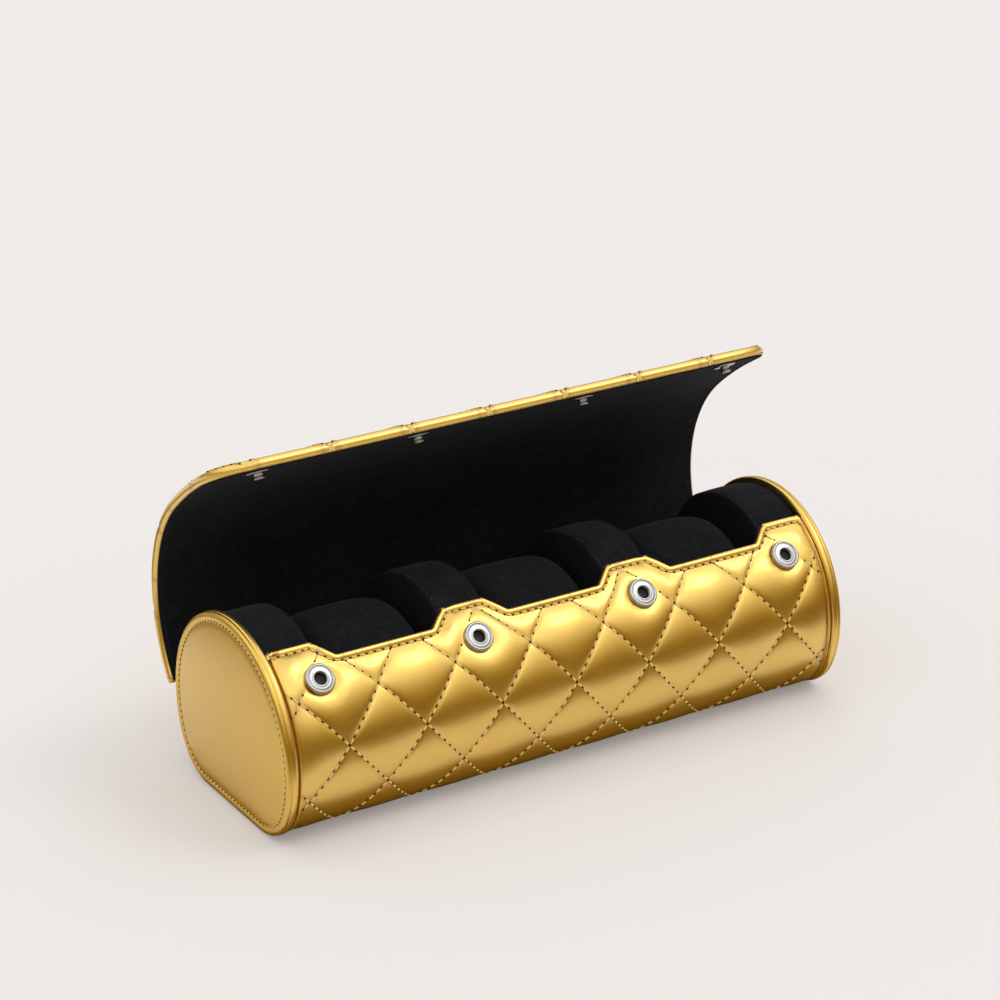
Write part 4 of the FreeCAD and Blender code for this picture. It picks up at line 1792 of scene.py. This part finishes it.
@dataclass
class LidCover:
    """The lid's quilted leather, rolled over its edge, which runs on over the flap."""

    half_length: float = 108.8
    hinge_edge: float = 0.3
    hinge_border: float = 0.8
    hinge_rounding: float = 0.6
    corner: float = 13.0
    edge: float = 3.2
    side_edge: float = 2.2
    puff: float = 1.2
    puff_from: tuple[float, float] = (5.0, 16.0)
    puff_edge: float = 3.5
    puff_end: tuple[float, float] = (-1.0, 22.0)
    seam_level: float = -0.30
    edge_level: float = -0.04
    sewn_from: float = 9.0
    pinch: tuple[float, float, float] = (0.5, 0.22, 0.16)
    pinched_past: tuple[float, float] = (105.0, 110.0)
    pinched_above: tuple[float, float] = (-3.0, -1.9)
    cross_x: float = 0.9
    cross_depths: tuple[float, float, float] = (0.95, 2.0, 3.05)
    cross_end: float = 94.0
    cross_sink: float = 0.24
    wall: tuple = ((0.8, -0.26), (1.4, 0.12), (2.05, 0.22), (2.75, 0.12), (3.3, -0.22))
    stitching: Stitching = field(default_factory=Stitching)
    rings: tuple = (
        (0.25, 0.0, -0.10), (0.50, 0.0, -0.18), (0.75, 0.0, -0.42), (0.92, 0.0, -0.80), (1.0, 0.12, -1.40),
        (1.0, 0.22, -2.05), (1.0, 0.12, -2.75), (1.0, -0.22, -3.30), (1.0, -0.75, -3.62), (1.0, -1.6, -3.70),
        (1.0, -2.6, -3.60),
    )

    def __post_init__(self) -> None:
        """Lay out the section, the pattern's edge and the quilt, which crosses on the free edge."""
        self.line = lid_section(LID_THICKNESS)
        x, end = self.half_length, self.line.length
        corners = [(-x, self.hinge_edge), (x, self.hinge_edge), (x, end), (-x, end)]
        roundings = [self.hinge_rounding] * 2 + [self.corner * CORNER_REACH] * 2
        widths = [self.hinge_border, self.side_edge, self.edge, self.side_edge]
        self.outline = Outline(corners, roundings, widths)
        self.quilt = Quilt(29.65, 35.6, (-8.8, end + 0.2))

    def level(self, places: np.ndarray) -> np.ndarray:
        """The leather's height at places.

        Args:
            places: Rows of x and s.

        Returns:
            Heights above the section.
        """
        gap = self.outline.nearest(places)[2]
        full = self.puff * smooth(*self.puff_from, places[:, 1])
        puffed = self.seam_level + full * self.quilt.form(places)
        calm = smooth(0.0, self.puff_edge, gap) * smooth(*self.puff_end, self.line.length - places[:, 1])
        field_height = self.edge_level + (puffed - self.edge_level) * calm
        shares, _, heights = zip((0.0, 0.0, self.edge_level), *self.rings[:4])
        rolled = np.interp(gap / self.edge, shares, heights)
        return np.where(self.outline.inside(places, 0.02), field_height, rolled)

    def pinched(self, ring: np.ndarray) -> np.ndarray:
        """Draw the rolled edge in where seams cross on it.

        Args:
            ring: Rows of x, s and h.

        Returns:
            The changed rows.
        """
        width, draw, dip = self.pinch
        side, end = self.pinched_past
        low, high = self.pinched_above
        a, b = self.quilt.lattice(ring[:, :2])
        off = np.minimum(np.abs(a - np.round(a)), np.abs(b - np.round(b))) * self.quilt.pitch_x
        tight = np.exp(-(off / width) ** 2) * (ring[:, 2] > low)
        x, s = ring[:, 0], ring[:, 1]
        outward = np.column_stack([np.sign(x) * (np.abs(x) > side), s > end])
        ring[:, :2] -= outward * (tight * draw)[:, None]
        ring[:, 2] -= dip * tight * (ring[:, 2] > high)
        return ring

    def sewable(self, places: np.ndarray) -> np.ndarray:
        """Which places lie on the leather's outside and above the hinge band."""
        return self.outline.inside(places, 0.8) & (places[:, 1] > self.sewn_from)

    def roll(self, places: np.ndarray) -> np.ndarray:
        """How far the pinched wall of the rolled edge stands out, by its depth."""
        depths, reaches = zip(*self.wall)
        return np.interp(places[:, 1], depths, reaches) - self.cross_sink

    def crossings(self) -> list[np.ndarray]:
        """Two crossed stitches wherever seams meet on the free edge.

        Returns:
            Runs of needle places, in x and in depth under the edge.
        """
        places = [self.quilt.origin[0] + k * self.quilt.pitch_x for k in range(-4, 5)]
        sideways = np.array([-self.cross_x, 0.0, self.cross_x])
        return [np.column_stack([x + way * sideways, self.cross_depths])
                for x in places if abs(x) < self.cross_end for way in (-1, 1)]

    def build(self) -> list[bpy.types.Object]:
        """Cut, quilt, roll and sew the lid's leather.

        Returns:
            The leather, its stitches and the stitches on its edge.
        """
        bm = self.quilt.quilted(self.outline, self.level)
        inner = len(bm.verts)
        grow_border(bm, self.outline, self.rings, self.pinched)
        mark_seam_shade(bm, np.zeros(len(bm.verts) - inner), inner)
        place(bm, self.line.wrap(coordinates(bm)))
        leather = piece(bm, "lid_quilted_leather", GOLD)
        rows = self.quilt.seams(self.outline, self.stitching, self.sewable)
        sewn = self.stitching.sew(rows, self.level, self.line)
        thread = piece(sewn, "lid_stitches", GOLD_THREAD, NEEDLE_HOLE_SHADE)
        crosses = self.stitching.sew(self.crossings(), self.roll, FreeEdge(self.line))
        knots = piece(crosses, "lid_edge_stitches", GOLD_THREAD, NEEDLE_HOLE_SHADE)
        for made in (leather, thread, knots):
            bend_at_flap(made)
        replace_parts(leather, "lid_cover", "flap_cover")
        return [leather, thread, knots]


@dataclass
class LidLining:
    """The suede inside the lid, with a turned and sewn edge."""

    half_length: float = 107.9
    inset: float = 0.6
    hinge_rounding: float = 0.6
    corner: float = 11.6
    hem: float = 1.35
    hem_level: float = -0.10
    rise: float = 0.12
    rise_edge: float = 5.0
    wave: float = 0.10
    wave_lengths: tuple[float, float, float, float] = (13.0, 17.0, 11.0, 29.0)
    stitch_share: float = 0.05
    stitching: Stitching = field(default_factory=lambda: Stitching(2.4, 1.6, 0.26, 0.20, 0.12))
    rings: tuple = (
        (0.10, 0.0, -0.12), (0.35, 0.0, 0.06), (0.70, 0.0, 0.08), (0.95, 0.0, -0.06), (1.0, 0.05, -0.35),
        (1.0, 0.0, -0.80),
    )

    def __post_init__(self) -> None:
        """Lay out the section and the pattern's edge."""
        self.line = lid_section(0.0, inward=True)
        x, start, end = self.half_length, self.inset, self.line.length - self.inset
        corners = [(-x, start), (x, start), (x, end), (-x, end)]
        roundings = [self.hinge_rounding] * 2 + [self.corner * CORNER_REACH] * 2
        self.outline = Outline(corners, roundings, [self.hem] * 4)

    def level(self, places: np.ndarray) -> np.ndarray:
        """The suede's height: flat over the board, with the slight waves of glued cloth.

        Args:
            places: Rows of x and s.

        Returns:
            Heights above the section.
        """
        near = smooth(0.0, self.rise_edge, self.outline.nearest(places)[2])
        return self.hem_level + (self.rise + self.wave * waves(places, self.wave_lengths)) * near

    def build(self) -> list[bpy.types.Object]:
        """Cut, hem and sew the lining.

        Returns:
            The suede and its stitches.
        """
        bm = even_field(self.outline, 72, 40)
        raise_field(bm, self.level)
        grow_border(bm, self.outline, self.rings)
        place(bm, self.line.wrap(coordinates(bm)))
        bmesh.ops.reverse_faces(bm, faces=bm.faces)
        suede = piece(bm, "lid_suede", SUEDE)
        row = self.stitching.needles(self.outline.ring(self.stitch_share), closed_path=True)
        sewn = self.stitching.sew([row], self.level, self.line)
        thread = piece(sewn, "lid_suede_stitches", BLACK_THREAD, BLACK_THREAD)
        for made in (suede, thread):
            bend_at_flap(made)
        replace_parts(suede, "lid_lining", "flap_lining")
        return [suede, thread]


@dataclass
class HingeBands:
    """The sewn leather band over the hinge, and the suede strip on its inside."""

    half_length: float = 105.0
    outside: tuple = ((36.75, 10.2), (40.2, 17.6), (46.6, 26.0), (50.1, 33.3))
    inside: tuple = ((35.95, 20.4), (36.05, 24.8), (37.5, 27.4), (43.2, 30.0))
    rows: int = 22
    rim: tuple[float, float] = (-0.2, 1.2)
    wall: float = -0.6
    groove_edge: float = 2.4
    groove_width: float = 0.5
    groove_depth: float = 0.22
    stitch_level: float = 0.50
    stitch_end: float = 2.0
    fold_reach: float = 5.0
    fold_way: tuple[float, float, float] = (0.0, 0.5, 0.866)
    stitching: Stitching = field(default_factory=Stitching)

    def strip(self, line: Section, name: str, finish: Finish, thick: float, columns: int) -> bpy.types.Object:
        """A thin band with soft edges along the whole case.

        Args:
            line: Its section.
            name: The piece's name.
            finish: Its finish.
            thick: Its thickness.
            columns: Faces along it.

        Returns:
            The band.
        """
        bm = patch(columns, self.rows)
        unit = coordinates(bm)
        x, s = (unit[:, 0] * 2 - 1) * self.half_length, unit[:, 1] * line.length
        across = np.minimum(s, line.length - s)
        soft = np.sqrt(smooth(*self.rim, np.minimum(across, self.half_length - np.abs(x))))
        groove = np.exp(-((across - self.groove_edge) / self.groove_width) ** 2)
        place(bm, np.column_stack([x, s, thick * soft - self.groove_depth * groove]))
        for v in extruded(bm, open_edges(bm))[1]:
            v.co.z = self.wall
        place(bm, line.wrap(coordinates(bm)))
        if line.sign < 0:
            bmesh.ops.reverse_faces(bm, faces=bm.faces)
        return piece(bm, name, finish)

    def build(self) -> list[bpy.types.Object]:
        """Make both bands and the stitches.

        Returns:
            The three pieces.
        """
        line = Section().curve(self.outside).done()
        band = self.strip(line, "hinge_band", GOLD, 0.75, 96)
        inner = self.strip(Section(inward=True).curve(self.inside).done(), "hinge_suede", SUEDE, 0.4, 48)
        reach = self.half_length - self.stitch_end
        levels = (self.groove_edge, line.length - self.groove_edge)
        rows = [self.stitching.needles(np.array([[-reach, s], [reach, s]])) for s in levels]
        sewn = self.stitching.sew(rows, lambda places: np.full(len(places), self.stitch_level), line)
        thread = piece(sewn, "hinge_band_stitches", GOLD_THREAD, NEEDLE_HOLE_SHADE)
        fold, way = Vector((0.0, *HINGE)) * MM, Vector(self.fold_way) * self.fold_reach * MM
        low, high = fold - way, fold + way
        for made, slot in ((band, Slot.GOLD), (thread, Slot.GOLD), (inner, Slot.SUEDE)):
            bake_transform(made)
            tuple(low)
            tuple(high)
        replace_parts(band, "hinge_strip")
        return [band, thread, inner]


@dataclass
class Studio:
    """The floor, the light and the camera of the photograph."""

    azimuth: float = -31.832
    elevation: float = 23.108
    distance: float = 1079.1
    focal_px: float = 3240.3
    photo_px: float = 1000.0
    sensor: float = 36.0
    across: float = -5.011
    up: float = 84.863
    floor_colour: Colour = (0.878, 0.840, 0.818)
    floor_reach: float = 6.0
    floor_height: float = -0.0001
    card_middle: tuple[float, float] = (0.01, 0.045)
    card_size: tuple[float, float, float] = (0.29, 0.157, 0.046)
    # Size of the dark card under the case, which shows in reflections as painted shade of the floor beneath it.
    under_shade_card: tuple[float, float] = (0.112, 0.045)
    under_height: float = -0.00005
    card_colour: Colour = (0.29, 0.185, 0.008)
    sky: tuple = (
        (0.0, (0.20, 0.125, 0.008)), (0.20, (0.28, 0.19, 0.035)), (0.42, (0.56, 0.51, 0.40)), (0.66, 0.92),
        (0.80, 1.0), (0.93, 0.82), (1.0, 0.66),
    )
    sky_level: float = 1.20
    mirror_gain: float = 0.14
    key_level: float = 0.36
    key_angle: float = 24.0
    key_from: tuple[float, float, float] = (0.46, -0.34, 0.82)

    def camera(self) -> None:
        """Place the camera at the photograph's viewing angle."""
        a, e = math.radians(self.azimuth), math.radians(self.elevation)
        right = Vector((math.cos(a), math.sin(a), 0.0))
        back = Vector((math.sin(a) * math.cos(e), -math.cos(a) * math.cos(e), math.sin(e)))
        lens = bpy.data.cameras.new("camera")
        lens.sensor_fit = "HORIZONTAL"
        lens.sensor_width = self.sensor
        lens.lens = self.focal_px * self.sensor / self.photo_px
        lens.clip_end = 50.0
        made = bpy.data.objects.new("camera", lens)
        target = right * self.across + Vector((0.0, 0.0, self.up))
        turn = Matrix((right, back.cross(right), back)).transposed().to_4x4()
        made.matrix_world = Matrix.Translation((target + back * self.distance) * MM) @ turn
        bpy.context.scene.collection.objects.link(made)
        bpy.context.scene.camera = made

    def floor(self) -> None:
        """Lay the pale floor, with two dark cards that only reflections show: one round the case, and one under
        it as painted shade of the floor beneath.
        """
        bm = bmesh.new()
        bmesh.ops.create_grid(bm, x_segments=4, y_segments=4, size=self.floor_reach)
        bmesh.ops.translate(bm, verts=bm.verts, vec=(0.0, 0.0, self.floor_height))
        paper = Paper("floor_paper", self.floor_colour, 2500.0, 1.0, 0.004)
        card = bmesh.new()
        along, across, high = self.card_size
        bmesh.ops.create_circle(card, segments=72, radius=1.0)
        bmesh.ops.scale(card, verts=card.verts, vec=(along, across, 1.0))
        top = extruded(card, card.edges[:])[1]
        bmesh.ops.translate(card, verts=top, vec=(0.0, 0.0, high))
        bmesh.ops.translate(card, verts=card.verts, vec=(*self.card_middle, 0.0))
        # The card under the case is painted shade: it darkens the floor that the leather's lower edge reflects.
        under = bmesh.new()
        bmesh.ops.create_grid(under, x_segments=2, y_segments=2, size=1.0)
        bmesh.ops.scale(under, verts=under.verts, vec=(*self.under_shade_card, 1.0))
        bmesh.ops.translate(under, verts=under.verts, vec=(0.0, 0.0, self.under_height))
        brown = Plain("brown_card", self.card_colour, 300.0)
        cards = [piece(card, "dark_card", brown), piece(under, "under_shade_card", brown)]
        for shade in cards:
            shade.visible_camera = shade.visible_diffuse = shade.visible_shadow = False
        piece(bm, "floor", paper)

    def light(self) -> None:
        """Light the case with a bright sky over a dim horizon, and one soft key lamp."""
        world = bpy.data.worlds.new("studio")
        bpy.context.scene.world = world
        world.use_nodes = True
        tree = Tree(world.node_tree)
        way = tree.node("ShaderNodeTexCoord", out="Generated")
        height = tree.node("ShaderNodeSeparateXYZ", {}, {0: way}, out=2)
        warm = tree.node("ShaderNodeValToRGB", {"stops": self.sky}, {0: height})
        grey = tree.node("ShaderNodeRGBToBW", {}, {0: warm})
        mirrored = tree.node("ShaderNodeLightPath", out="Is Glossy Ray")
        level = mirrored * self.mirror_gain + self.sky_level
        colour = tree.mix(mirrored, grey, warm)
        glow = tree.node("ShaderNodeBackground", {}, {"Color": colour, "Strength": level})
        paper = tree.node("ShaderNodeBackground", {}, {"Color": rgba(self.floor_colour), "Strength": 1.0})
        seen = tree.node("ShaderNodeLightPath", out="Is Camera Ray")
        both = tree.node("ShaderNodeMixShader", {}, {0: seen, 1: glow, 2: paper})
        tree.node("ShaderNodeOutputWorld", {}, {"Surface": both})
        key = bpy.data.lights.new("key", "SUN")
        key.energy = self.key_level
        key.angle = math.radians(self.key_angle)
        lamp = bpy.data.objects.new("key", key)
        lamp.rotation_euler = Vector(self.key_from).to_track_quat("Z", "Y").to_euler()
        bpy.context.scene.collection.objects.link(lamp)

    def build(self) -> None:
        """Set up the whole studio."""
        bpy.context.scene.view_settings.view_transform = "Standard"
        self.camera()
        self.floor()
        self.light()


def dress_frame(nodes: dict[str, bpy.types.Object]) -> None:
    """Give the frame's own nodes a finish by what they are made of.

    Args:
        nodes: The frame's objects by name.
    """
    kinds = {
        "board": BOARD, "shell": BOARD, "core": FOAM, "spring": NICKEL, "eyelet": NICKEL, "rivet": NICKEL,
        "socket": NICKEL, "stud": NICKEL, "lining": SUEDE, "wrap": SUEDE, "sleeve": SUEDE,
    }
    for name, node in nodes.items():
        finish = next((kinds[word] for word in kinds if word in name), GOLD)
        for slot in node.material_slots:
            slot.material = finish.material()


def main() -> None:
    """Dress the frame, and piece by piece."""
    logging.basicConfig(level=logging.INFO, format="%(name)s %(message)s")
    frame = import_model()
    dress_frame(frame["nodes"])
    Studio().build()
    ends = [EndCap(side) for side in Side]
    dividers = [Divider(i + 1, (i - 1.5) * COMPARTMENT) for i in range(4)]
    lid = [LidCover(), LidLining()]
    for part in (TubCover(), *ends, Pillow(), SnapRow(), *lid, TubLining(), *dividers, HingeBands()):
        for made in part.build():
            LOG.info("%s dressed", made.name)


if __name__ == "__main__":
    main()
